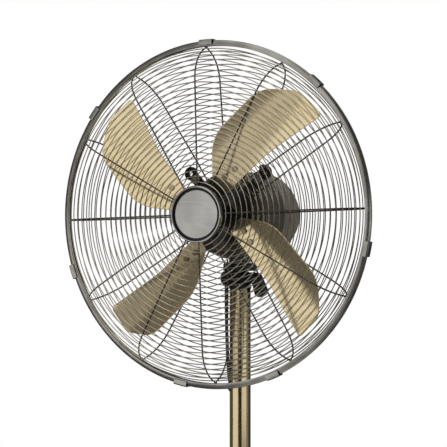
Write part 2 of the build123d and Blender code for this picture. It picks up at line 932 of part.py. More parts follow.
with BuildPart() as motor_screws:
    with BuildSketch(fan.offset(-motor_front)):
        with PolarLocations(motor_screw_circle, motor_screw_count):
            Circle(motor_screw_head_radius)
    extrude(amount=motor_screw_head_height)
    fillet(motor_screws.edges().group_by(Axis.Y)[0], motor_screw_edge)
    with BuildSketch(fan.offset(-motor_front)):
        with PolarLocations(motor_screw_circle, motor_screw_count):
            Circle(motor_screw_radius)
    extrude(amount=-motor_front_wall)
save(motor_screws, "motor_screws")

case_front = rear_plate_front + rear_plate_thickness
case_plane = Plane(
    origin=(0, case_front - rim_offset, axis_height), x_dir=(1, 0, 0), z_dir=(0, -1, 0)
)
case_middle = ((case_right - case_left) / 2, (case_high - case_low) / 2)
with BuildPart() as gear_case:
    with BuildSketch(case_plane):
        with Locations(case_middle):
            RectangleRounded(case_left + case_right, case_low + case_high, case_rounding)
    extrude(amount=-case_length)
    with BuildSketch(case_plane.offset(-case_wall)):
        with Locations(case_middle):
            Rectangle(
                case_left + case_right - 2 * case_wall, case_low + case_high - 2 * case_wall
            )
    extrude(amount=-case_length, mode=Mode.SUBTRACT)
    with BuildSketch(case_plane):
        Circle(shaft_radius + clear_gap)
    extrude(amount=-case_wall, mode=Mode.SUBTRACT)
    with BuildSketch(Plane.XY.offset(axis_height)):
        with Locations((wheel_side, wheel_back)):
            Circle(wheel_spindle_radius + running_gap)
    extrude(amount=-2 * case_low, mode=Mode.SUBTRACT)
    with BuildSketch(Plane.XY.offset(axis_height)):
        with Locations((0, osc_knob_back)):
            Circle(osc_stem_radius + running_gap)
    extrude(amount=2 * case_high, mode=Mode.SUBTRACT)
save(gear_case, "gear_case")

with BuildPart() as osc_knob:
    with Locations((0, osc_knob_back, axis_height + osc_knob_rise)):
        Cylinder(osc_knob_radius, osc_knob_height, align=low)
    fillet(osc_knob.edges().group_by(Axis.Z)[-1], osc_knob_edge)
    with Locations((0, osc_knob_back, axis_height + osc_stem_low)):
        Cylinder(osc_stem_radius, osc_knob_rise - osc_stem_low, align=low)
save(osc_knob, "osc_knob")

with BuildPart() as capacitor:
    with BuildSketch(case_plane):
        with Locations((-capacitor_side, 0)):
            RectangleRounded(capacitor_width, capacitor_height, capacitor_rounding)
    extrude(amount=-capacitor_length)
save(capacitor, "run_capacitor")

# Rotor: shaft, core, worm, spider, blades, rivets and nut
with BuildPart() as motor_shaft:
    with BuildSketch(fan.offset(hub_front + shaft_tip)):
        Circle(shaft_radius)
    extrude(amount=-(hub_front + shaft_tip + worm_front + worm_length))
save(motor_shaft, "motor_shaft")

with BuildPart() as rotor_core:
    with BuildSketch(fan.offset(-stator_front)):
        Circle(stator_bore_radius - rotor_air_gap)
        Circle(shaft_radius + running_gap, mode=Mode.SUBTRACT)
    extrude(amount=-stator_length)
save(rotor_core, "rotor_core")

with BuildPart() as worm:
    with BuildSketch(fan.offset(-worm_front)):
        Circle(worm_radius)
        Circle(shaft_radius + running_gap, mode=Mode.SUBTRACT)
    extrude(amount=-worm_length)
save(worm, "worm")

blade_outline = (
    (blade_root, blade_root_lead),
    (blade_bow_along, blade_bow_across),
    (blade_tip_radius - blade_tip_inset, blade_tip_lead),
    (blade_tip_radius + blade_tip_bulge, blade_tip_across),
    (blade_shoulder_along, blade_shoulder_across),
    (blade_heel_along, blade_heel_across),
    (blade_root, blade_root_trail),
)
blade_corner_radii = (
    blade_root_corner,
    blade_bow_bend,
    blade_tip_corner,
    blade_tip_bend,
    blade_shoulder_bend,
    blade_heel_bend,
    blade_root_corner,
)
blade_rise = blade_trail_reach - blade_lead_reach


def pressed_sheet(drop, thickness, outline, corner_radii):
    # A sheet of the blade's curve, lowered by drop, cut to a plan outline and pierced for rivets.
    with BuildPart() as sheet:
        with BuildSketch(Plane.YZ):
            with BuildLine():
                ThreePointArc(
                    (blade_lead_edge, blade_lead_reach - drop),
                    ((blade_lead_edge + blade_trail_edge) / 2, blade_middle_reach - drop),
                    (blade_trail_edge, blade_trail_reach - drop),
                )
            trace(line_width=thickness)
        extrude(amount=blade_tip_radius + 2 * thickness)
        with BuildSketch(Plane.XY.offset(-blade_rise)):
            with BuildLine():
                FilletPolyline(*outline, radius=corner_radii, close=True)
            make_face()
            with Locations(rivet_inner, rivet_outer):
                Circle(rivet_radius + rivet_play, mode=Mode.SUBTRACT)
        extrude(amount=3 * blade_rise, mode=Mode.INTERSECT)
    return sheet


blade_form = pressed_sheet(0, blade_thickness, blade_outline, blade_corner_radii)
for number in range(blade_count):
    with BuildPart(fan) as blade:
        with Locations(Location((0, 0, 0), (0, 0, blade_turn + number * 360 / blade_count))):
            add(blade_form.part)
    save(blade, f"blade_{number + 1}")

arm_drop = (blade_thickness + arm_thickness) / 2 + clear_gap
arm_outline = (
    (hub_radius / 2, arm_root_lead),
    (arm_end, arm_tip_lead),
    (arm_end, arm_tip_trail),
    (hub_radius / 2, arm_root_trail),
)
arm_form = pressed_sheet(arm_drop, arm_thickness, arm_outline, arm_corner)
with BuildPart(fan) as blade_spider:
    with Locations((0, 0, hub_rear)):
        Cylinder(hub_radius, hub_front - hub_rear, align=low)
    fillet(blade_spider.edges().group_by(Axis.Y)[0], hub_edge)
    with PolarLocations(0, blade_count, start_angle=blade_turn):
        add(arm_form.part)
    with Locations((0, 0, hub_rear)):
        Cylinder(
            shaft_radius + running_gap, hub_front - hub_rear, align=low, mode=Mode.SUBTRACT
        )
save(blade_spider, "blade_spider")

# Rivets square to the pressing, their heads on the blades
press_arc = ThreePointArc(
    (blade_lead_edge, blade_lead_reach),
    ((blade_lead_edge + blade_trail_edge) / 2, blade_middle_reach),
    (blade_trail_edge, blade_trail_reach),
)
rivet_seat = blade_thickness / 2 + seat_gap
rivet_length = rivet_seat + blade_thickness / 2 + clear_gap + arm_thickness
rivet_seats = []
for number in range(blade_count):
    around = Location((0, 0, 0), (0, 0, blade_turn + number * 360 / blade_count))
    for along, across in (rivet_inner, rivet_outer):
        slope = asin((across - press_arc.arc_center.X) / press_arc.radius)
        reach = press_arc.arc_center.Y - press_arc.radius * cos(slope)
        seat = Location((along, across, reach), (degrees(slope), 0, 0))
        rivet_seats.append(around * seat * Location((0, 0, rivet_seat)))

with BuildPart(fan) as blade_rivets:
    with Locations(*rivet_seats):
        Cylinder(rivet_head_radius, rivet_head_height, align=low)
        Cylinder(rivet_radius, rivet_length, align=high)
save(blade_rivets, "blade_rivets")

with BuildPart(fan) as blade_nut:
    with Locations((0, 0, hub_front)):
        Cylinder(nut_radius, nut_length, align=low)
    fillet(blade_nut.edges().group_by(Axis.Y)[0], nut_edge)
    with Locations((0, 0, hub_front)):
        Cylinder(shaft_radius + running_gap, nut_bore_depth, align=low, mode=Mode.SUBTRACT)
save(blade_nut, "blade_nut")

# Guard bracket and its screws
bracket_front = -motor_front + bracket_thickness
guard_screw_circle = rear_inner_ring + guard_screw_rings * ring_pitch
with BuildPart() as guard_bracket:
    with BuildSketch(fan.offset(-motor_front)):
        Circle(bracket_ring_outer)
        with PolarLocations(bracket_reach / 2, bracket_arm_count, start_angle=bracket_arm_turn):
            Rectangle(bracket_reach, bracket_arm_width)
        with PolarLocations(bracket_reach, bracket_arm_count, start_angle=bracket_arm_turn):
            Circle(bracket_end_radius)
            Circle(bracket_eye_radius, mode=Mode.SUBTRACT)
        with PolarLocations(guard_screw_circle, bracket_arm_count, start_angle=bracket_arm_turn):
            Circle(guard_screw_radius + running_gap, mode=Mode.SUBTRACT)
        Circle(bracket_ring_inner, mode=Mode.SUBTRACT)
    extrude(amount=bracket_thickness)
save(guard_bracket, "guard_bracket")

rear_ring_reach = bracket_front + ring_wire_radius + seat_gap
screw_seat = rear_ring_reach + ring_wire_radius + seat_gap
with BuildPart() as guard_screws:
    with BuildSketch(fan.offset(-motor_front)):
        with PolarLocations(guard_screw_circle, bracket_arm_count, start_angle=bracket_arm_turn):
            Circle(guard_screw_radius)
    extrude(amount=screw_seat + motor_front)
    with BuildSketch(fan.offset(screw_seat)):
        with PolarLocations(guard_screw_circle, bracket_arm_count, start_angle=bracket_arm_turn):
            Circle(guard_washer_radius)
    extrude(amount=guard_washer_thickness)
    with BuildSketch(fan.offset(screw_seat)):
        with PolarLocations(guard_screw_circle, bracket_arm_count, start_angle=bracket_arm_turn):
            Circle(guard_screw_head_radius)
    extrude(amount=guard_screw_head_height)
save(guard_screws, "guard_screws")

# Guards: one bent spoke carried round, and rings welded on its outer side
weld_offset = ring_wire_radius + spoke_radius - weld_depth
rear_spoke_reach = rear_ring_reach + weld_offset
rim_wire_reach = rim_wire_radius + clear_gap

front_points = (
    (rim_wire_circle - rim_wire_radius, rim_wire_reach),
    (spoke_tail, rim_wire_reach),
    (front_corner_radius, front_corner_reach),
    (front_spoke_end, front_centre_reach),
)
rear_points = (
    (rim_wire_circle - rim_wire_radius, -rim_wire_reach),
    (spoke_tail, -rim_wire_reach),
    (rear_corner_radius, -rear_corner_reach),
    (rear_flat_radius, rear_spoke_reach),
    (rear_spoke_end, rear_spoke_reach),
)


def guard(name, points, bends, side, inner_ring):
    # side is 1 where the rings lie in front of the spokes and -1 where they lie behind.
    with BuildPart() as spoke:
        with BuildLine(Plane.XZ) as curve:
            FilletPolyline(*points, radius=bends)
        path = curve.wires()[0]
        with BuildSketch(Plane(path @ 0, z_dir=path % 0)):
            Circle(spoke_radius)
        sweep()
    with BuildPart(fan) as spokes:
        with PolarLocations(0, spoke_count, start_angle=spoke_turn):
            add(spoke.part)
    save(spokes, f"{name}_spokes")

    seats = []
    along = path.length - (inner_ring - points[-1][0])
    while along > ring_margin:
        here = path @ (along / path.length)
        heading = path % (along / path.length)
        seats.append((here.X + side * heading.Z * weld_offset, here.Z - side * heading.X * weld_offset))
        along -= ring_pitch
    with BuildPart() as rings:
        with BuildSketch(fan_section):
            with Locations(*seats):
                RegularPolygon(ring_wire_radius, ring_wire_sides, major_radius=False)
        revolve(axis=fan_axis)
    print(name, "rings", len(rings.solids()))
    save(rings, f"{name}_rings")


guard("front_guard", front_points, (tail_bend, front_bend), 1, front_inner_ring)
guard("rear_guard", rear_points, (tail_bend, rear_bend, rear_flat_bend), -1, rear_inner_ring)

for name, reach in (("front_rim_wire", rim_wire_reach), ("rear_rim_wire", -rim_wire_reach)):
    with BuildPart(fan) as rim_wire:
        with Locations((0, 0, reach)):
            Torus(rim_wire_circle, rim_wire_radius)
    save(rim_wire, name)

with BuildPart() as rim_band:
    with BuildSketch(fan_section) as band_section:
        with Locations((rim_radius - band_depth / 2, 0)):
            Rectangle(band_depth, band_width)
        fillet(band_section.vertices().group_by(Axis.X)[-1], band_rounding)
    revolve(axis=fan_axis)
    with BuildSketch(fan_section) as band_hollow:
        with Locations((rim_radius - band_wall - band_depth / 2, 0)):
            Rectangle(band_depth, band_width - 2 * band_wall)
        fillet(band_hollow.vertices().group_by(Axis.X)[-1], band_rounding - band_wall)
    revolve(axis=fan_axis, mode=Mode.SUBTRACT)
save(rim_band, "rim_band")

clip_arc = degrees(clip_length / rim_radius)
with BuildPart() as clip_form:
    with BuildSketch(Plane.XZ):
        with Locations((rim_radius - band_depth / 2 + clip_thickness, 0)):
            Rectangle(band_depth, band_width + 2 * clip_thickness + 2 * seat_gap)
        with Locations((rim_radius + seat_gap - band_depth / 2, 0)):
            Rectangle(band_depth, band_width + 2 * seat_gap, mode=Mode.SUBTRACT)
    revolve(axis=Axis.Z, revolution_arc=clip_arc)
with BuildPart(fan) as rim_clips:
    for angle in clip_angles:
        with Locations(Location((0, 0, 0), (0, 0, angle - clip_arc / 2))):
            add(clip_form.part)
save(rim_clips, "rim_clips")

# Badge in the middle of the front guard
badge_back_front = front_centre_reach - spoke_radius - clear_gap
badge_floor_rear = front_centre_reach + spoke_radius + clear_gap
badge_floor_front = badge_floor_rear + badge_floor
badge_front = badge_floor_rear + badge_depth

with BuildPart() as badge_back:
    with BuildSketch(fan.offset(badge_back_front)):
        Circle(badge_radius - badge_lip / 2)
    extrude(amount=-badge_back_thickness)
    with BuildSketch(fan.offset(badge_back_front)):
        Circle(badge_post_radius)
    extrude(amount=badge_floor_rear - badge_back_front)
save(badge_back, "badge_back")

with BuildPart() as badge_bezel:
    with BuildSketch(fan_section):
        with BuildLine():
            Polyline(
                (0, badge_floor_rear),
                (badge_radius, badge_floor_rear),
                (badge_radius, badge_front - bezel_outer_edge),
                (badge_radius - bezel_outer_edge, badge_front),
                (badge_radius - badge_lip + bezel_inner_edge, badge_front),
                (badge_radius - badge_lip, badge_front - bezel_inner_edge),
                (badge_radius - badge_lip, badge_floor_front),
                (0, badge_floor_front),
                close=True,
            )
        make_face()
    revolve(axis=fan_axis)
save(badge_bezel, "badge_bezel")

with BuildPart() as badge_plate:
    with BuildSketch(fan.offset(badge_floor_front)):
        Circle(badge_radius - badge_lip - clear_gap)
    extrude(amount=badge_plate_thickness)
    fillet(badge_plate.edges().group_by(Axis.Y)[0], badge_plate_edge)
save(badge_plate, "badge_plate")
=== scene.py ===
import bmesh
import bpy
import json
import math
import numpy as np
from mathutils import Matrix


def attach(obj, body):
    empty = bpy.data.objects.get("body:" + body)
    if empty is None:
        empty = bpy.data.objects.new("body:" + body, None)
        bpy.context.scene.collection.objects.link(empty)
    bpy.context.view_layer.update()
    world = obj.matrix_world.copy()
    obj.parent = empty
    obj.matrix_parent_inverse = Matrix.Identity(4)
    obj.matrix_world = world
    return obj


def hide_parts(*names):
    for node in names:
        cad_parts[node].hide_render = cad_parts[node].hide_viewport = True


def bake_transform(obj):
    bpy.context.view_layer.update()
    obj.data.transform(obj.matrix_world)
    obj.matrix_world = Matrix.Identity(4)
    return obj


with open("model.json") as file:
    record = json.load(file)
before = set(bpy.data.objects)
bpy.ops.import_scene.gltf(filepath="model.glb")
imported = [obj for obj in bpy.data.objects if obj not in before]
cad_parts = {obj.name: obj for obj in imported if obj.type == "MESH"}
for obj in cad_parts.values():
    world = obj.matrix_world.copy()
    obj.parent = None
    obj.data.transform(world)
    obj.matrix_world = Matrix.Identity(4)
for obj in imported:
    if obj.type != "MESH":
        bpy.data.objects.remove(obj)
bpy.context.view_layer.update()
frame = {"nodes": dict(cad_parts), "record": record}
print("frame:", len(frame["nodes"]), "nodes")

tau = 2 * math.pi
mm = 0.001  # pieces are measured in millimetres; camera, lamps and finishes in metres
scene = bpy.context.scene
bodies = frame["record"]["behaviour"]["bodies"]
slots = {part["node"]: part["material_slot"] for part in frame["record"]["subparts"]}


# camera at the photograph's place
view = {"place": (1.0158, -1.9350, 0.9778), "tilt": 90.29, "turn": 28.28, "lens": 132.0}
cameraData = bpy.data.cameras.new("photoView")
cameraData.lens = view["lens"]
camera = bpy.data.objects.new("photoView", cameraData)
camera.location = view["place"]
camera.rotation_euler = (math.radians(view["tilt"]), 0, math.radians(view["turn"]))
scene.collection.objects.link(camera)
scene.camera = camera
scene.view_settings.view_transform = "Standard"


class Socket:
    # one shader value; sums, differences and products of these add Math nodes
    def __init__(self, tree, out=None):
        self.tree = tree
        self.out = out

    def node(self, kind, settings, sockets, out=0):
        # a new node: its settings first, then a value or a link for each socket
        made = self.tree.nodes.new(kind)
        for key, value in settings.items():
            setattr(made, key, value)
        for key, value in sockets.items():
            if isinstance(value, Socket):
                self.tree.links.new(value.out, made.inputs[key])
            else:
                made.inputs[key].default_value = value
        return Socket(self.tree, made.outputs[out])

    def math(self, operation, other, flip=False):
        # a Math node on this value and another, which flip puts first
        first, second = (other, self) if flip else (self, other)
        return self.node("ShaderNodeMath", {"operation": operation}, {0: first, 1: second})

    def __add__(self, other):
        return self.math("ADD", other)

    def __sub__(self, other):
        return self.math("SUBTRACT", other)

    def __rsub__(self, other):
        return self.math("SUBTRACT", other, flip=True)

    def __mul__(self, other):
        return self.math("MULTIPLY", other)

    __radd__ = __add__
    __rmul__ = __mul__


def mixed(factor, low, high):
    # the low colour where the factor is 0, the high one where it is 1; a Mix node's colours are 6, 7 and 2
    return factor.node("ShaderNodeMix", {"data_type": "RGBA"}, {0: factor, 6: low, 7: high}, 2)


def noise(place, scale, detail=3, stretch=(1, 1, 1)):
    # soft noise about 0.5; a small stretch draws it out along that axis
    spread = place.node("ShaderNodeMapping", {}, {"Vector": place, "Scale": stretch})
    return place.node("ShaderNodeTexNoise", {}, {"Vector": spread, "Scale": scale, "Detail": detail})


def bump(height, strength, depth):
    # normals of a surface raised by the height, depth in metres
    return height.node("ShaderNodeBump", {}, {"Height": height, "Strength": strength, "Distance": depth})


def smoothStep(value, low, high):
    # 0 up to low, 1 from high on, an S-shaped rise between
    return value.node("ShaderNodeMapRange", {"interpolation_type": "SMOOTHSTEP"},
                      {"Value": value, "From Min": low, "From Max": high})


def colour(r, g, b):
    # linear red, green and blue, fully opaque
    return (r, g, b, 1)


def finish(name, fixed):
    # a principled material, its fixed numbers set on the shader, and its place in object coordinates
    material = bpy.data.materials.new(name)
    material.use_nodes = True
    shader = material.node_tree.nodes["Principled BSDF"]
    for key, value in fixed.items():
        shader.inputs[key].default_value = value
    place = Socket(material.node_tree).node("ShaderNodeTexCoord", {}, {}, "Object")
    return material, shader, place


def feed(material, shader, sockets):
    # links each value to the shader's socket of that name
    for key, value in sockets.items():
        material.node_tree.links.new(value.out, shader.inputs[key])


# world: white to the camera and to shiny surfaces, dimmer as a light
studio = {"ambient": 0.5, "white": colour(1, 1, 1), "aim": (0, -0.05, 0.95)}
world = bpy.data.worlds.new("whiteStudio")
world.use_nodes = True
scene.world = world
ray = world.node_tree.nodes.new("ShaderNodeLightPath").outputs
seen = Socket(world.node_tree, ray["Is Camera Ray"]) + Socket(world.node_tree, ray["Is Glossy Ray"])
seen = (seen + Socket(world.node_tree, ray["Is Transmission Ray"])).math("MINIMUM", 1)
strength = studio["ambient"] + (1 - studio["ambient"]) * seen
background = world.node_tree.nodes["Background"]
background.inputs["Color"].default_value = studio["white"]
world.node_tree.links.new(strength.out, background.inputs["Strength"])

lamps = {
    "keyLamp": {"place": (-1.5, -2.6, 2.3), "size": 1.5, "power": 42},
    "fillLamp": {"place": (2.6, -1.4, 1.5), "size": 1.2, "power": 16},
    "topLamp": {"place": (0.2, 0.6, 3.2), "size": 1.6, "power": 22},
}
for lampName, lamp in lamps.items():
    data = bpy.data.lights.new(lampName, "AREA")
    data.energy = lamp["power"]
    data.size = lamp["size"]
    light = bpy.data.objects.new(lampName, data)
    light.location = lamp["place"]
    light.visible_glossy = False
    x, y, z = np.array(studio["aim"]) - np.array(lamp["place"])
    light.rotation_euler = (math.atan2(math.hypot(x, y), -z), 0, math.atan2(x, -y) + math.pi)
    scene.collection.objects.link(light)
print("camera, lamps and world set")


# surfaces
def gridFaces(rows, columns, wrapRows=False, wrapColumns=False):
    # quads between neighbouring rows and columns of points counted row by row
    i, j = np.meshgrid(np.arange(rows if wrapRows else rows - 1),
                       np.arange(columns if wrapColumns else columns - 1), indexing="ij")
    below, beside = (i + 1) % rows, (j + 1) % columns
    corners = [i * columns + j, below * columns + j, below * columns + beside, i * columns + beside]
    return np.stack(corners, -1).reshape(-1, 4)


def repeated(faces, count, step):
    # the same faces for each of several copies whose points follow one another, step points apart
    return (faces[None] + (np.arange(count) * step)[:, None, None]).reshape(-1, 4)


merge = {"near": 2e-6, "flat": 1e-6}  # metres


def piece(name, parts, crease=35, capped=False):
    # parts are (points, faces) pairs in millimetres, put into one mesh whose seams and poles are merged
    starts = np.cumsum([0] + [len(points) for points, faces in parts])
    points = np.concatenate([points for points, faces in parts]) * mm
    faces = np.concatenate([faces + start for (_, faces), start in zip(parts, starts)])
    mesh = bpy.data.meshes.new(name)
    mesh.from_pydata(points.tolist(), [], faces.tolist())
    work = bmesh.new()
    work.from_mesh(mesh)
    bmesh.ops.remove_doubles(work, verts=work.verts, dist=merge["near"])
    bmesh.ops.dissolve_degenerate(work, edges=work.edges, dist=merge["flat"])
    if capped:
        bmesh.ops.holes_fill(work, edges=[edge for edge in work.edges if edge.is_boundary])
    bmesh.ops.recalc_face_normals(work, faces=work.faces)
    work.to_mesh(mesh)
    work.free()
    mesh.shade_smooth()
    mesh.set_sharp_from_angle(angle=math.radians(crease))
    made = bpy.data.objects.new(name, mesh)
    scene.collection.objects.link(made)
    return made


def settle(made, *nodes, look=None):
    # the piece stands for these CAD nodes, moves with their body and takes their slot's finish or its own
    body = next(b for b, members in bodies.items() if nodes[0] in members)
    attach(made, body)
    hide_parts(*nodes)
    made.data.materials.append(look or finishes[slots[nodes[0]]])
    print("piece:", made.name, len(made.data.polygons), "faces on", body)


def bentLine(corners, bends, steps=8, closed=False, same=1e-7):
    # straight runs between corners, each corner swapped for an arc of its own bend radius
    corners = np.array(corners, float)
    bends = np.array(bends, float)
    before = corners - np.roll(corners, 1, 0)
    after = np.roll(corners, -1, 0) - corners
    if not closed:
        before[0] = after[0]
        after[-1] = before[-1]
    before /= np.linalg.norm(before, axis=1)[:, None]
    after /= np.linalg.norm(after, axis=1)[:, None]
    turn = np.arctan2(before[:, 0] * after[:, 1] - before[:, 1] * after[:, 0], (before * after).sum(1))
    back = bends * np.tan(np.abs(turn) / 2)
    start = corners - before * back[:, None]
    inward = np.stack([-before[:, 1], before[:, 0]], 1) * (np.sign(turn) * bends)[:, None]
    swing = turn[:, None] * np.linspace(0, 1, steps + 1)[None, :]
    c, s = np.cos(swing), np.sin(swing)
    spoke = -inward
    arc = np.stack([c * spoke[:, :1] - s * spoke[:, 1:], s * spoke[:, :1] + c * spoke[:, 1:]], -1)
    line = ((start + inward)[:, None, :] + arc).reshape(-1, 2)
    gap = np.linalg.norm(np.diff(line, axis=0, append=line[:1] if closed else line[-1:] + 1), axis=1)
    return line[gap > same]


def evenly(line, count, closed=False):
    # the same line as points at equal distances along it
    if closed:
        line = np.vstack([line, line[:1]])
    along = np.concatenate([[0], np.cumsum(np.linalg.norm(np.diff(line, axis=0), axis=1))])
    wanted = np.linspace(0, along[-1], count, endpoint=not closed)
    return np.stack([np.interp(wanted, along, line[:, k]) for k in range(line.shape[1])], 1)


def sideways(line):
    # unit normals of a line in its plane, to the left of its heading
    heading = np.gradient(line, axis=0)
    heading /= np.linalg.norm(heading, axis=1)[:, None]
    return np.stack([-heading[:, 1], heading[:, 0]], 1)


def walled(line, wall):
    # closed section of a sheet of that wall, half to each side of the line
    shift = sideways(line) * wall / 2
    return np.vstack([line + shift, (line - shift)[::-1]])


class Axle:
    # a line to turn profiles about; radius, angle and distance along it give a point
    def __init__(self, origin, along, side):
        self.origin = np.array(origin, float)
        self.along = np.array(along, float) / np.linalg.norm(along)
        self.side = np.array(side, float)
        self.third = np.cross(self.along, self.side)

    def point(self, radius, angle, reach, across=0):
        # radius and across, turned by the angle, in the plane square to the axle; reach along it
        x = radius * np.cos(angle) - across * np.sin(angle)
        y = radius * np.sin(angle) + across * np.cos(angle)
        x, y, reach = (a[..., None] for a in np.broadcast_arrays(x, y, reach))
        return self.origin + x * self.side + y * self.third + reach * self.along


def upright(x, y):
    # a standing axle whose reach is the height
    return Axle((x, y, 0), (0, 0, 1), (1, 0, 0))


fan = Axle((0, -81, 1000), (0, -1, 0), (1, 0, 0))
pole = upright(0, 0)


def turned(axle, profile, columns=96, closed=True, wobble=None):
    # a profile of (radius, reach) carried round its axle; wobble changes the radius by angle and row
    angle = np.linspace(0, tau, columns, endpoint=False)
    radius, reach = np.array(profile, float).T[:, :, None]
    if wobble is not None:
        radius = wobble(radius, angle[None, :], reach)
    points = axle.point(radius, angle[None, :], reach)
    return points.reshape(-1, 3), gridFaces(len(profile), columns, closed, True)


def hoops(seats, wire, columns=180, sides=8):
    # tori: a small circle carried round the fan's axle at each seat (radius, reach)
    seats = np.array(seats, float)
    small = np.linspace(0, tau, sides, endpoint=False)
    angle = np.linspace(0, tau, columns, endpoint=False)
    radius = seats[:, 0, None, None] + wire * np.cos(small)[None, :, None]
    reach = seats[:, 1, None, None] + wire * np.sin(small)[None, :, None]
    points = fan.point(radius, angle[None, None, :], reach)
    faces = gridFaces(sides, columns, True, True)
    return points.reshape(-1, 3), repeated(faces, len(seats), sides * columns)


# floor, and studio cards that only shiny surfaces see; turn and rise in degrees
floor = {"reach": 2600, "drop": 0.5, "fade": (1.1, 2.5), "cloud": 3.0,
         "pale": colour(0.84, 0.84, 0.83), "paler": colour(0.86, 0.86, 0.86)}
cards = {"centre": (0, -80, 1000), "reach": 4500, "spans": (
    {"turn": (5, 45), "rise": (-70, -16), "shade": 0.25},
    {"turn": (5, 45), "rise": (-16, 4), "shade": 0.03},
    {"turn": (-25, 5), "rise": (-70, -12), "shade": 0.66},
    {"turn": (-59, -25), "rise": (-70, -24), "shade": 0.14},
    {"turn": (-59, -29), "rise": (2, 50), "shade": 0.30},
    {"turn": (-180, -59), "rise": (-70, 60), "shade": 0.10},
    {"turn": (100, 130), "rise": (-70, 60), "shade": 0.24},
    {"turn": (130, 180), "rise": (-70, 60), "shade": 0.06},
    {"turn": (18, 100), "rise": (4, 70), "shade": 0.08},
    {"turn": (45, 100), "rise": (-70, -10), "shade": 0.08},
)}


def domePatch(centre, reach, turn, rise, columns=25, rows=13):
    # the part of a sphere between two azimuths, counted from the front, and two heights, in degrees
    turn = np.radians(np.linspace(*turn, columns))[None, :]
    rise = np.radians(np.linspace(*rise, rows))[:, None]
    points = np.stack(np.broadcast_arrays(
        np.sin(turn) * np.cos(rise), -np.cos(turn) * np.cos(rise), np.sin(rise)), -1)
    return np.array(centre) + reach * points.reshape(-1, 3), gridFaces(rows, columns)


def glow(name, shade):
    # emission alone, so that a card keeps its shade under any lamp
    material = bpy.data.materials.new(name)
    material.use_nodes = True
    material.node_tree.nodes.remove(material.node_tree.nodes["Principled BSDF"])
    grey = colour(shade, shade, shade)
    light = Socket(material.node_tree).node("ShaderNodeEmission", {}, {"Color": grey})
    material.node_tree.links.new(light.out, material.node_tree.nodes["Material Output"].inputs["Surface"])
    return material


for number, span in enumerate(cards["spans"], 1):
    patch = domePatch(cards["centre"], cards["reach"], span["turn"], span["rise"])
    card = piece(f"studioCard{number}", [patch])
    card.data.materials.append(glow(f"card{number}", span["shade"]))
    card.visible_camera = False
    card.visible_diffuse = False
    card.visible_shadow = False

groundLine = ((0, -floor["drop"]), (floor["reach"], -floor["drop"]))
ground = piece("groundDisc", [turned(pole, groundLine, closed=False)])
groundMaterial, groundShader, groundPlace = finish("paleFloor", {"Roughness": 0.7})
apart = groundPlace.node("ShaderNodeVectorMath", {"operation": "LENGTH"}, {0: groundPlace}, "Value")
cloud = smoothStep(noise(groundPlace, floor["cloud"]), low=0.2, high=0.8)
feed(groundMaterial, groundShader, {
    "Base Color": mixed(cloud, floor["pale"], floor["paler"]),
    "Alpha": 1 - smoothStep(apart, *floor["fade"]),
})
ground.data.materials.append(groundMaterial)
ground.visible_glossy = False
print("floor and cards:", len(cards["spans"]))


# finishes
def platedWire(name, dark, light):
    # plating clouded between two shades
    material, shader, place = finish(name, {"Metallic": 1.0})
    patch = noise(place, scale=55, detail=4)
    fine = noise(place, scale=900, detail=2)
    feed(material, shader, {
        "Base Color": mixed(smoothStep(patch, low=0.3, high=0.7), dark, light),
        "Roughness": 0.18 + 0.14 * patch,
        "Normal": bump(fine, strength=0.06, depth=0.0004),
    })
    return material


def platedBand():
    # clouds and rolling marks, which run round the band
    look = {"dark": colour(0.26, 0.248, 0.225), "light": colour(0.42, 0.402, 0.365)}
    material, shader, place = finish("platedBand", {"Metallic": 1.0})
    patch = noise(place, scale=26, detail=4)
    lines = noise(place, scale=60, detail=2, stretch=(1, 40, 1))
    tone = smoothStep(0.6 * patch + 0.4 * lines, low=0.35, high=0.65)
    feed(material, shader, {
        "Base Color": mixed(tone, look["dark"], look["light"]),
        "Roughness": 0.20 + 0.16 * lines,
        "Normal": bump(lines, strength=0.10, depth=0.0004),
    })
    return material


def bladeGold():
    # metallic paint: soft clouds and a random value for each flake
    look = {"gold": colour(0.80, 0.665, 0.41), "deep": colour(0.72, 0.59, 0.35), "flake": 4200}
    material, shader, place = finish("bladeGold", {"Metallic": 0.9})
    flake = place.node("ShaderNodeTexVoronoi", {}, {"Vector": place, "Scale": look["flake"]}, "Color")
    sparkle = flake.node("ShaderNodeSeparateColor", {}, {"Color": flake})
    cloud = noise(place, scale=14, detail=3)
    tone = smoothStep(0.7 * cloud + 0.3 * sparkle, low=0.2, high=0.8)
    feed(material, shader, {
        "Base Color": mixed(tone, look["deep"], look["gold"]),
        "Roughness": 0.07 + 0.05 * sparkle + 0.03 * cloud,
        "Normal": bump(noise(place, scale=320, detail=2), strength=0.03, depth=0.0004),
    })
    return material


def polishedBrass():
    # clouds and draw marks, which run along the tube, under lacquer
    look = {"bright": colour(0.74, 0.61, 0.37), "aged": colour(0.60, 0.475, 0.26)}
    lacquer = {"Metallic": 1.0, "Coat Weight": 0.3, "Coat Roughness": 0.06}
    material, shader, place = finish("polishedBrass", lacquer)
    drawn = noise(place, scale=120, detail=3, stretch=(1, 1, 0.02))
    cloud = noise(place, scale=9, detail=4)
    tone = smoothStep(0.5 * drawn + 0.5 * cloud, low=0.3, high=0.7)
    feed(material, shader, {
        "Base Color": mixed(tone, look["aged"], look["bright"]),
        "Roughness": 0.13 + 0.10 * drawn,
        "Normal": bump(drawn, strength=0.04, depth=0.0003),
    })
    return material


def glossPaint(name, base, warm, rough=0.16, coat=0.5):
    # paint clouded between two shades, with a slight orange peel under its coat
    material, shader, place = finish(name, {"Coat Weight": coat, "Coat Roughness": 0.08})
    peel = noise(place, scale=260, detail=2)
    cloud = noise(place, scale=18, detail=4)
    feed(material, shader, {
        "Base Color": mixed(smoothStep(cloud, low=0.3, high=0.75), base, warm),
        "Roughness": rough + 0.14 * cloud,
        "Normal": bump(peel, strength=0.05, depth=0.0006),
    })
    return material


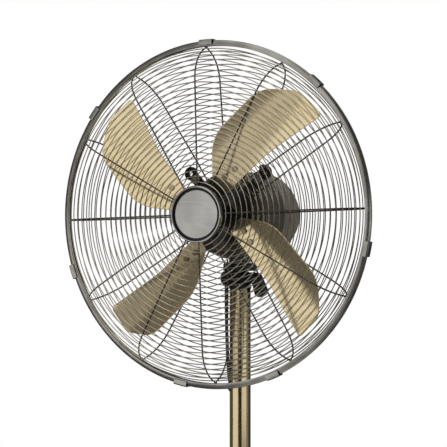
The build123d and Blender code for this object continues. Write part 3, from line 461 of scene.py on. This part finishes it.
def mouldedPlastic(name, base, worn, rough=0.36, grain=1400):
    # plastic clouded between two shades, with the mould's fine grain
    material, shader, place = finish(name, {})
    spark = noise(place, scale=grain, detail=3)
    cloud = noise(place, scale=30, detail=4)
    feed(material, shader, {
        "Base Color": mixed(smoothStep(cloud, low=0.3, high=0.8), base, worn),
        "Roughness": rough + 0.16 * cloud,
        "Normal": bump(spark, strength=0.14, depth=0.0003),
    })
    return material


def bareMetal(name, base, dull, rough=0.28, stretch=(1, 1, 1), grain=300):
    # metal clouded between two shades, its marks drawn out by the stretch
    material, shader, place = finish(name, {"Metallic": 1.0})
    marks = noise(place, scale=grain, detail=3, stretch=stretch)
    cloud = noise(place, scale=40, detail=4)
    feed(material, shader, {
        "Base Color": mixed(smoothStep(0.5 * marks + 0.5 * cloud, low=0.3, high=0.7), dull, base),
        "Roughness": rough + 0.14 * marks,
        "Normal": bump(marks, strength=0.08, depth=0.0003),
    })
    return material


def laminations():
    # the sheets of a core: bands across the fan's axle
    look = {"gap": colour(0.16, 0.16, 0.17), "sheet": colour(0.38, 0.38, 0.39)}
    material, shader, place = finish("stackedCore", {"Metallic": 1.0})
    wave = place.node("ShaderNodeTexWave", {"bands_direction": "Y"},
                      {"Vector": place, "Scale": 320.0, "Distortion": 0.4}, "Fac")
    feed(material, shader, {
        "Base Color": mixed(wave, look["gap"], look["sheet"]),
        "Roughness": 0.35 + 0.2 * wave,
        "Normal": bump(wave, strength=0.3, depth=0.0004),
    })
    return material


def chromeWithPaintedRecessShade():
    # bright chrome rim; within it, by distance from the fan's axle, the tray that holds the plate and the
    # inner edge of the lip are painted black as the recess's shade
    # the tray colour is painted shade: near black, with no metal, where the recess lies in shadow
    look = {"centre": (0, 0, 1.0), "square": (1, 0, 1), "rim": (0.0342, 0.0346),
            "bright": colour(0.42, 0.41, 0.39), "tray": colour(0.01, 0.01, 0.01)}
    material, shader, place = finish("chromeWithPaintedRecessShade", {})
    apart = place.node("ShaderNodeVectorMath", {"operation": "SUBTRACT"}, {0: place, 1: look["centre"]})
    apart = apart.node("ShaderNodeVectorMath", {"operation": "MULTIPLY"}, {0: apart, 1: look["square"]})
    apart = apart.node("ShaderNodeVectorMath", {"operation": "LENGTH"}, {0: apart}, "Value")
    # the mask is 0 where the recess shade is painted and 1 on the bright chrome
    rim = smoothStep(apart, *look["rim"])
    marks = noise(place, scale=300, detail=3)
    feed(material, shader, {
        "Base Color": mixed(rim, look["tray"], look["bright"]),
        "Metallic": rim,
        "Roughness": 0.5 - 0.42 * rim + 0.05 * marks,
        "Normal": bump(marks, strength=0.03, depth=0.0003),
    })
    return material


finishes = {
    "brass_plate": polishedBrass(),
    "guard_wire": platedWire("platedWire", colour(0.42, 0.38, 0.31), colour(0.70, 0.645, 0.535)),
    "guard_band": platedBand(),
    "blade_gold": bladeGold(),
    "badge_chrome": chromeWithPaintedRecessShade(),
    "badge_brushed": bareMetal("badgeBrushed", colour(0.56, 0.545, 0.515), colour(0.42, 0.405, 0.38),
                               rough=0.30, stretch=(0.04, 1, 1), grain=1100),
    "motor_bronze": glossPaint("motorBronze", colour(0.050, 0.040, 0.028), colour(0.090, 0.073, 0.053)),
    "black_casting": glossPaint("blackCasting", colour(0.008, 0.0075, 0.007), colour(0.016, 0.015, 0.014),
                                rough=0.3, coat=0.15),
    "black_plastic": mouldedPlastic("blackPlastic", colour(0.008, 0.008, 0.008),
                                    colour(0.016, 0.0155, 0.015)),
    "nut_black": mouldedPlastic("nutBlack", colour(0.016, 0.016, 0.016), colour(0.032, 0.031, 0.030),
                                rough=0.3),
    "foot_rubber": mouldedPlastic("footRubber", colour(0.020, 0.020, 0.020), colour(0.045, 0.043, 0.040),
                                  rough=0.62, grain=700),
    "lead_sheath": mouldedPlastic("leadSheath", colour(0.014, 0.014, 0.014), colour(0.026, 0.025, 0.025),
                                  rough=0.42, grain=900),
    "white_nylon": mouldedPlastic("whiteNylon", colour(0.66, 0.65, 0.61), colour(0.74, 0.73, 0.69),
                                  rough=0.45),
    "switch_body": mouldedPlastic("switchBody", colour(0.15, 0.09, 0.045), colour(0.21, 0.13, 0.07),
                                  rough=0.5),
    "iron_weight": mouldedPlastic("ironWeight", colour(0.05, 0.05, 0.05), colour(0.10, 0.095, 0.09),
                                  rough=0.55, grain=420),
    "zinc_steel": bareMetal("zincSteel", colour(0.62, 0.62, 0.60), colour(0.48, 0.48, 0.47), rough=0.26),
    "rivet_metal": bareMetal("rivetMetal", colour(0.46, 0.38, 0.24), colour(0.34, 0.27, 0.16), rough=0.12),
    "core_steel": laminations(),
    "copper_wire": bareMetal("copperWire", colour(0.55, 0.27, 0.12), colour(0.42, 0.19, 0.08),
                             rough=0.3, stretch=(1, 30, 1)),
    "bearing_bronze": bareMetal("bearingBronze", colour(0.52, 0.38, 0.19), colour(0.40, 0.28, 0.13),
                                rough=0.35),
}
# the motor's bronze paint again, lighter, for the rear cover alone: painted light on the same finish as the
# front shield
litCoverPaint = glossPaint("coverBronzeLitCopy", colour(0.118, 0.105, 0.080), colour(0.186, 0.167, 0.130), rough=0.22)
# the plated wire again, near black, for the spokes alone: painted shade on the same wire as the rings
shadedSpokeWire = platedWire("shadedSpokeWire", colour(0.06, 0.052, 0.04), colour(0.13, 0.115, 0.09))
for nodeName, node in frame["nodes"].items():
    node.data.materials.clear()
    node.data.materials.append(finishes[slots[nodeName]])
print("finishes:", len(finishes))


# motor lead: a smooth cord from the head plate down into the pole
lead = {"route": ((-14.4, -12.5, 931), (-14.4, -12.5, 778), (-3.02, -2.62, 760), (-3.02, -2.62, 742)),
        "radius": 2.3, "length": 0.193, "sides": 16, "level": (0.6, -0.8, 0.0)}
controls = np.hstack([np.array(lead["route"]) * mm, np.ones((len(lead["route"]), 1))])
routeData = bpy.data.curves.new("leadRoute", "CURVE")
routeData.dimensions = "3D"
spline = routeData.splines.new("NURBS")
spline.points.add(len(controls) - 1)
spline.points.foreach_set("co", controls.ravel())
spline.order_u = 3
spline.use_endpoint_u = True
spline.resolution_u = 24
route = bpy.data.objects.new("leadRoute", routeData)
scene.collection.objects.link(route)
routeMesh = bpy.data.meshes.new_from_object(route)
leadLine = np.empty(len(routeMesh.vertices) * 3)
routeMesh.vertices.foreach_get("co", leadLine)
leadLine = leadLine.reshape(-1, 3)
bpy.data.objects.remove(route)


def sheath(line, radius, sides, level):
    # a circle carried along the line, square to its heading, its ends drawn to a point to close them
    heading = np.gradient(line, axis=0)
    heading /= np.linalg.norm(heading, axis=1)[:, None]
    first = np.cross(heading, level)  # level is a direction that the line never takes
    first /= np.linalg.norm(first, axis=1)[:, None]
    second = np.cross(heading, first)
    angle = np.linspace(0, tau, sides, endpoint=False)[None, :, None]
    rings = line[:, None] + radius * (np.cos(angle) * first[:, None] + np.sin(angle) * second[:, None])
    ends = [np.repeat(line[k][None, None], sides, 1) for k in (0, -1)]
    rings = np.concatenate([ends[0], rings, ends[1]])
    return rings.reshape(-1, 3), gridFaces(len(rings), sides, False, True)


motorLead = piece("motorLead", [sheath(leadLine / mm, lead["radius"], lead["sides"], lead["level"])])
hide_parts("motor_lead")
motorLead.data.materials.append(finishes["lead_sheath"])
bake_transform(motorLead)
print("motor lead:", len(leadLine), "points")


# guards: wires bent to (radius, reach) corners, rings welded on their outside
guards = {
    "front": {"corners": ((219.5, 1.8), (215.5, 1.8), (202.2, 32.5), (27, 34.5)), "bends": (0, 3, 45, 0),
              "side": 1, "innerRing": 40.9},
    "rear": {"corners": ((219.5, -1.8), (215.5, -1.8), (201.4, -32.5), (84, -41.7), (36, -41.7)),
             "bends": (0, 3, 45, 60, 0), "side": -1, "innerRing": 39.7},
    "ringWire": 0.7, "spokeWire": 1.0, "weld": 1.5, "pitch": 7.5, "margin": 9, "spokes": 12, "turn": 1.8,
    "rimWire": 1.5, "rimCircle": 221, "finePoints": 900,
}


def spokeSet(line, wire, count, turn, sides=10):
    # a circle carried along the bent line in the plane of the axle, the whole repeated round it
    normal = sideways(line)
    small = np.linspace(0, tau, sides, endpoint=False)
    full = np.concatenate([[0], np.ones(len(line)), [0]]) * wire
    rows = np.concatenate([line[:1], line, line[-1:]])
    lean = np.concatenate([normal[:1], normal, normal[-1:]])
    radius = rows[:, :1] + full[:, None] * np.cos(small) * lean[:, :1]
    reach = rows[:, 1:] + full[:, None] * np.cos(small) * lean[:, 1:]
    across = full[:, None] * np.sin(small)
    angle = np.radians(turn) + np.arange(count) * tau / count
    points = fan.point(radius[None], angle[:, None, None], reach[None], across[None])
    faces = gridFaces(len(rows), sides, False, True)
    return points.reshape(-1, 3), repeated(faces, count, len(rows) * sides)


def ringSeats(line, form):
    # ring centres a pitch apart along the wire, counted outwards from the inner ring, lifted by the weld
    fine = evenly(line, guards["finePoints"])
    length = np.linalg.norm(np.diff(fine, axis=0), axis=1).sum()
    last = length - (form["innerRing"] - form["corners"][-1][0])
    at = np.arange(last, guards["margin"], -guards["pitch"]) / length * (len(fine) - 1)
    lifted = fine - guards["weld"] * form["side"] * sideways(fine)
    return np.stack([np.interp(at, np.arange(len(fine)), lifted[:, k]) for k in (0, 1)], 1)


for end in ("front", "rear"):
    form = guards[end]
    wireLine = bentLine(form["corners"], form["bends"], steps=10)
    settle(piece(end + "GuardRings", [hoops(ringSeats(wireLine, form), guards["ringWire"])]),
           end + "_guard_rings")
    spokes = spokeSet(wireLine, guards["spokeWire"], guards["spokes"], guards["turn"])
    # the spokes take the darker painted-shade copy of the wire finish
    settle(piece(end + "GuardSpokes", [spokes]), end + "_guard_spokes", look=shadedSpokeWire)
    rimSeat = (guards["rimCircle"], form["corners"][0][1])
    settle(piece(end + "RimWire", [hoops([rimSeat], guards["rimWire"], columns=240, sides=12)]),
           end + "_rim_wire")

# rim band: a half ellipse, and a smaller one inside it, carried round the fan's axle
band = {"radius": 225, "depth": 7.5, "width": 9, "wall": 0.6, "bendPoints": 41}
bend = np.linspace(-np.pi / 2, np.pi / 2, band["bendPoints"])
arch = np.stack([np.cos(bend), np.sin(bend)], 1)
bandSize = np.array([band["depth"], band["width"] / 2])
bandSeat = np.array([band["radius"] - band["depth"], 0])
bandLine = np.vstack([bandSeat + arch * bandSize, bandSeat + (arch * (bandSize - band["wall"]))[::-1]])
settle(piece("rimBand", [turned(fan, bandLine, columns=280)]), "rim_band")

clips = {"angles": (48.0, 91.4, 142.2, 199.9, 258.9, 294.0, 348.8), "length": 19, "inner": 218.9,
         "outer": 226.4, "seat": 225.1, "half": 6.0, "halfSeat": 4.6,
         "round": 2.2, "lip": 0.5, "hollow": 0.8, "steps": 9}


def clipSet(form):
    # a hooked section carried a little way round the axle at each clip's angle, its ends left to be capped
    inner, outer, seat = form["inner"], form["outer"], form["seat"]
    half, halfSeat = form["half"], form["halfSeat"]
    lip, bow, hollow = form["lip"], form["round"], form["hollow"]
    section = bentLine(
        ((inner, -half), (outer, -half), (outer, half), (inner, half),
         (inner, halfSeat), (seat, halfSeat), (seat, -halfSeat), (inner, -halfSeat)),
        (lip, bow, bow, lip, lip, hollow, hollow, lip), steps=5, closed=True)
    swing = np.linspace(-0.5, 0.5, form["steps"]) * form["length"] / outer
    angle = np.radians(form["angles"])[:, None, None] + swing[None, :, None]
    points = fan.point(section[:, 0], angle, section[:, 1])
    faces = gridFaces(len(swing), len(section), False, True)
    return points.reshape(-1, 3), repeated(faces, len(form["angles"]), len(swing) * len(section))


settle(piece("rimClips", [clipSet(clips)], crease=40, capped=True), "rim_clips")


# blades: one pressed sheet, a cylinder's arc across, cut to a bowed outline
blades = {
    "outline": ((34, 4), (110, -2), (197.5, -22.5), (199, 20), (168, 57), (78, 62), (34, 28)),
    "bends": (3, 180, 5, 25, 42, 60, 3), "edgePoints": 320,
    "spine": {"start": 60, "end": 165, "across": 20}, "rows": 14, "rollRows": 7,
    "arc": ((-26, -6), (19, 1.66), (64, 20.5)), "sheet": 1.2, "turn": 45, "count": 4,
}


def circleThrough(a, b, c):
    # centre and radius of the circle through three points: the centre is as far from b and c as from a
    a, b, c = (np.array(p, float) for p in (a, b, c))
    rows = 2 * np.array([b - a, c - a])
    centre = np.linalg.solve(rows, [b @ b - a @ a, c @ c - a @ a])
    return centre, np.linalg.norm(centre - a)


def bladeSheet(form, number):
    # nested copies of the outline drawn to a spine, laid on the arc, front and back joined by a round edge
    edge = evenly(bentLine(form["outline"], form["bends"], steps=12, closed=True), form["edgePoints"], True)
    spine = np.stack([np.clip(edge[:, 0], form["spine"]["start"], form["spine"]["end"]),
                      np.full(len(edge), form["spine"]["across"])], 1)
    around = np.vstack([edge[-1:], edge, edge[:1]])
    out = -sideways(around)[1:-1]
    half = form["sheet"] / 2
    spread = np.sin(np.linspace(0, np.pi / 2, form["rows"])[:-1])
    roll = np.linspace(0, np.pi, form["rollRows"])
    flat = np.full(len(spread), half)
    share = np.concatenate([spread, np.ones(len(roll)), spread[::-1]])
    lift = np.concatenate([flat, half * np.cos(roll), -flat])
    push = np.concatenate([-half * spread, half * (np.sin(roll) - 1), -half * spread[::-1]])
    plan = spine[None] + share[:, None, None] * (edge - spine)[None] + push[:, None, None] * out[None]
    centre, radius = circleThrough(*form["arc"])
    slope = np.arcsin((plan[..., 1] - centre[0]) / radius)
    reach = centre[1] - (radius - lift[:, None]) * np.cos(slope)
    across = plan[..., 1] - lift[:, None] * np.sin(slope)
    angle = np.radians(form["turn"] + number * 360 / form["count"])
    points = fan.point(plan[..., 0], angle, reach, across)
    return points.reshape(-1, 3), gridFaces(len(share), len(edge), False, True)


for number in range(blades["count"]):
    settle(piece(f"blade{number + 1}", [bladeSheet(blades, number)], crease=50), f"blade_{number + 1}")


# motor housing: a cup with a boss under it, and a vented cover
motor = {"front": -48, "split": -98, "radius": 58, "wall": 2.5, "face": 3, "bore": 8,
         "bends": (0.6, 8, 0.8, 0.5, 5, 0.6)}
boss = {"radius": 15, "low": 937.7, "high": 956, "round": 1}
cupInside, cupFloor = motor["radius"] - motor["wall"], motor["front"] - motor["face"]
shieldLine = bentLine(
    ((motor["bore"], motor["front"]), (motor["radius"], motor["front"]), (motor["radius"], motor["split"]),
     (cupInside, motor["split"]), (cupInside, cupFloor), (motor["bore"], cupFloor)),
    motor["bends"], steps=10, closed=True)
bossLine = bentLine(
    ((0, boss["low"]), (boss["radius"], boss["low"]), (boss["radius"], boss["high"]), (0, boss["high"])),
    (0, boss["round"], boss["round"], 0), steps=5)
shield = [turned(fan, shieldLine, columns=160), turned(pole, bossLine, columns=64, closed=False)]
settle(piece("motorFrontShield", shield), "motor_front_shield")

cover = {"line": ((57, -98.1), (57, -140), (44, -172), (0, -172)), "bends": (0, 14, 14, 0), "wall": 2,
         "vents": 10, "ventCircle": 26, "ventLength": 18, "ventWidth": 3.2,
         "flatEdge": 37, "step": 0.4, "sideRows": 40, "rimRows": 3, "ventRows": 25, "hubRows": 8,
         "ventColumns": 5, "barColumns": 9, "slit": 0.6, "leastRadius": 12, "edgeTurn": (0.0005, 0.2),
         "hair": 1e-3}


def ventedCover(form):
    # the cover's line carried round the axle; columns close in on each vent's edges, its faces are left out
    back = form["line"][-1][1]
    line = bentLine(form["line"], form["bends"], steps=10)
    side = evenly(line[line[:, 1] > back + form["hair"]], form["sideRows"])
    half, end = form["ventWidth"] / 2, form["ventLength"] / 2
    vent = form["ventCircle"] + end * np.cos(np.linspace(0, np.pi, form["ventRows"]))
    flat = np.concatenate([np.linspace(form["flatEdge"], vent[0] + form["step"], form["rimRows"]), vent,
                           np.linspace(vent[-1] - form["step"], 0, form["hubRows"])])
    rows = np.vstack([side, np.stack([flat, np.full(len(flat), back)], 1)])
    # past runs from 0 on a vent's straight part to 1 at the tip of its round end
    past = np.clip((np.abs(rows[:, 0] - form["ventCircle"]) - (end - half)) / half, 0, None)
    width = np.where(past < 1, half * np.sqrt(np.clip(1 - past**2, 0, 1)), form["slit"] * half)
    share = width / np.maximum(rows[:, 0], form["leastRadius"])
    edge = np.arcsin(np.clip(share, *form["edgeTurn"]))[:, None]
    sector = tau / form["vents"]
    inVent = np.linspace(-1, 1, form["ventColumns"]) * edge
    onBar = edge + (sector - 2 * edge) * np.linspace(0, 1, form["barColumns"])[1:-1]
    columns = np.hstack([inVent, onBar])
    angle = (columns[:, None, :] + sector * np.arange(form["vents"])[None, :, None]).reshape(len(rows), -1)
    faces = gridFaces(len(rows), angle.shape[1], False, True)
    row, column = faces[:, 0] // angle.shape[1], faces[:, 0] % angle.shape[1] % columns.shape[1]
    inside = past < 1 + form["hair"]
    cut = inside[row] & inside[(row + 1) % len(rows)] & (column < form["ventColumns"] - 1)
    return fan.point(rows[:, :1], angle, rows[:, 1:]).reshape(-1, 3), faces[~cut]


rearCover = piece("motorRearCover", [ventedCover(cover)])
thick = rearCover.modifiers.new("wall", "SOLIDIFY")
thick.thickness = cover["wall"] * mm
thick.offset = 0
# the rear cover takes the lighter painted-light copy of the motor paint
settle(rearCover, "motor_rear_cover", look=litCoverPaint)


# badge: a lipped tray, the bare plate in it and the disc behind the wires
badge = {"ring": 36.5, "lip": 3.2, "floor": 35.8, "tray": 1.5, "front": 41.3,
         "bends": (0, 0.5, 1.5, 1, 0.3, 0)}
plate = {"radius": 31.0, "front": 39.3, "bends": (0, 0.2, 0.9, 0)}
disc = {"radius": 34.5, "low": 31.2, "high": 33.2, "post": 5, "bends": (0, 0.8, 0.6, 0.3, 0.1, 0)}
lipInside, trayTop = badge["ring"] - badge["lip"], badge["floor"] + badge["tray"]
bezelLine = bentLine(
    ((0, badge["floor"]), (badge["ring"], badge["floor"]), (badge["ring"], badge["front"]),
     (lipInside, badge["front"]), (lipInside, trayTop), (0, trayTop)), badge["bends"])
settle(piece("badgeBezel", [turned(fan, bezelLine, columns=160, closed=False)]), "badge_bezel")
plateLine = bentLine(
    ((0, trayTop), (plate["radius"], trayTop), (plate["radius"], plate["front"]), (0, plate["front"])),
    plate["bends"])
settle(piece("badgePlate", [turned(fan, plateLine, columns=160, closed=False)]), "badge_plate")
discLine = bentLine(
    ((0, disc["low"]), (disc["radius"], disc["low"]), (disc["radius"], disc["high"]),
     (disc["post"], disc["high"]), (disc["post"], badge["floor"]), (0, badge["floor"])),
    disc["bends"], steps=6)
settle(piece("badgeBack", [turned(fan, discLine, columns=120, closed=False)]), "badge_back")


# nut and knobs
def stepped(form, steps=6):
    # outline of a cap: along its blind bore or its stud to the back, out, up the side and in over the front
    return bentLine(
        ((0, form["studEnd"]), (form["stud"], form["studEnd"]), (form["stud"], form["back"]),
         (form["radius"], form["back"]), (form["radius"], form["front"]), (0, form["front"])),
        form["bends"], steps)


def fluted(count, circle, flute, low, high):
    # shallow round grooves: the outer radius gives way to circles set round it, between two heights
    def cutBack(radius, angle, reach):
        off = np.abs((angle * count / tau + 0.5) % 1 - 0.5) * tau / count
        depth = np.sqrt(np.clip(flute**2 - (radius * off)**2, 0, None))
        groove = np.where(depth > 0, circle * np.cos(off) - depth, radius)
        inside = (radius > circle - flute) & (reach > low) & (reach < high)
        return np.where(inside, np.minimum(radius, groove), radius)
    return cutBack


nut = {"radius": 10, "back": 16, "front": 24, "stud": 4.05, "studEnd": 22.6,
       "bends": (0, 0.2, 0.3, 0.4, 3, 0)}
settle(piece("bladeNut", [turned(fan, stepped(nut), columns=64, closed=False)]), "blade_nut")

collar = {"outer": 26, "bore": 17.8, "neck": 14.3, "bottom": 574.3, "grooveTop": 603.8, "step": 604.3,
          "top": 612.3, "bends": (0.3, 2, 0, 0, 4, 0.5, 0.3, 0.5),
          "flutes": {"count": 16, "circle": 27.1, "flute": 2.2, "low": 570, "high": 604}}
collarLine = bentLine(
    ((collar["bore"], collar["bottom"]), (collar["outer"], collar["bottom"]),
     (collar["outer"], collar["grooveTop"]), (collar["outer"], collar["step"]),
     (collar["outer"], collar["top"]), (collar["neck"], collar["top"]),
     (collar["neck"], collar["step"]), (collar["bore"], collar["step"])),
    collar["bends"], steps=6, closed=True)
grooves = fluted(**collar["flutes"])
settle(piece("heightCollar", [turned(pole, collarLine, columns=320, wobble=grooves)]), "height_collar")

pivot = Axle((0, 0, 916), (-1, 0, 0), (0, 1, 0))
tiltKnob = {"radius": 9, "back": 11.6, "front": 25.6, "stud": 3.05, "studEnd": 18.6,
            "bends": (0, 0.2, 0.2, 0.5, 1.4, 0),
            "flutes": {"count": 10, "circle": 9.6, "flute": 1.5, "low": 11, "high": 26}}
grooves = fluted(**tiltKnob["flutes"])
knob = turned(pivot, stepped(tiltKnob), columns=200, closed=False, wobble=grooves)
settle(piece("tiltKnob", [knob]), "tilt_knob")

# handle: a hub on the tilt bolt, and a grip that leans back from it and widens to its tip
handle = {"hub": 8, "bore": 3.05, "near": -11.6, "far": -25.6, "endWall": 3,
          "hubBends": (0.2, 0.8, 2, 0, 0, 0.2), "start": (25.118, 0, 916), "lean": 55,
          "root": -5, "rootRadius": 7.6, "tip": 26, "tipRadius": 9.82, "round": 4}
lean = math.radians(handle["lean"])
grip = Axle(handle["start"], (0, math.cos(lean), -math.sin(lean)), (1, 0, 0))
boreEnd = handle["far"] + handle["endWall"]
hubLine = bentLine(
    ((handle["bore"], handle["near"]), (handle["hub"], handle["near"]), (handle["hub"], handle["far"]),
     (0, handle["far"]), (0, boreEnd), (handle["bore"], boreEnd)), handle["hubBends"], steps=6)
gripLine = bentLine(
    ((0, handle["root"]), (handle["rootRadius"], handle["root"]), (handle["tipRadius"], handle["tip"]),
     (0, handle["tip"])), (0, handle["round"], handle["round"], 0))
handleParts = [turned(pivot, hubLine, columns=72), turned(grip, gripLine, columns=72, closed=False)]
settle(piece("tiltHandle", handleParts), "tilt_handle")

# small turned parts: a bent line of (radius, reach) and the axles it is carried round
feet = {"count": 6, "circle": 160, "radius": 11, "height": 8, "bends": (0, 2, 0.3, 0)}
feetTurn = np.arange(feet["count"]) * tau / feet["count"]
feetPlaces = feet["circle"] * np.stack([np.cos(feetTurn), np.sin(feetTurn)], 1)
oscKnob = {"behind": 71, "radius": 7, "back": 1059, "front": 1070, "stud": 3, "studEnd": 1008,
           "bends": (0, 0.3, 0.3, 0.5, 3, 0)}
smallParts = {
    "poleFlange": {
        "node": "pole_flange", "axles": [pole], "closed": True,
        "line": bentLine(((6.05, 42.8), (40, 42.8), (40, 44.8), (30, 49.3), (24, 57.3), (24, 74.8),
                          (17.55, 74.8), (17.55, 47.3), (6.05, 47.3)),
                         (0.2, 0.4, 0.9, 4, 4, 0.6, 0.4, 0.3, 0.2), closed=True)},
    "oscKnob": {
        "node": "osc_knob", "axles": [upright(0, oscKnob["behind"])], "closed": False,
        "line": stepped(oscKnob, steps=8)},
    "inletGland": {
        "node": "inlet_gland", "axles": [Axle((0, 27, 468), (0, 1, 0), (1, 0, 0))], "closed": True,
        "line": bentLine(((3.6, 5), (4.8, 5), (10, 3), (10, 0), (7, 0), (7, -4.5), (3.6, -4.5)),
                         (0.3, 0.4, 0.6, 0.3, 0.2, 0.3, 0.3), closed=True)},
    "baseFeet": {
        "node": "base_feet", "closed": False,
        "axles": [upright(*place) for place in feetPlaces],
        "line": bentLine(((0, 0), (feet["radius"], 0), (feet["radius"], feet["height"]),
                          (0, feet["height"])), feet["bends"])},
}
for name, form in smallParts.items():
    copies = [turned(axle, form["line"], closed=form["closed"]) for axle in form["axles"]]
    settle(piece(name, copies), form["node"])

# pole and base
tubes = {"upper": {"outer": 14, "inner": 12.5, "bottom": 432, "top": 902},
         "lower": {"outer": 17.5, "inner": 16, "bottom": 47.3, "top": 600}, "edge": 0.5}
for end in ("upper", "lower"):
    tube = tubes[end]
    tubeLine = bentLine(
        ((tube["outer"], tube["bottom"]), (tube["outer"], tube["top"]), (tube["inner"], tube["top"]),
         (tube["inner"], tube["bottom"])), [tubes["edge"]] * 4, steps=4, closed=True)
    settle(piece(end + "Tube", [turned(pole, tubeLine, columns=120)]), end + "_tube")

dome = {"line": ((194.2, 3.5), (194.2, 20), (150, 34), (44, 42), (6.5, 42)), "bends": (0, 9, 40, 12, 0),
        "wall": 1.6, "rows": 120}
domeLine = evenly(bentLine(dome["line"], dome["bends"], steps=12), dome["rows"])
settle(piece("baseCover", [turned(pole, walled(domeLine, dome["wall"]), columns=200)]), "base_cover")
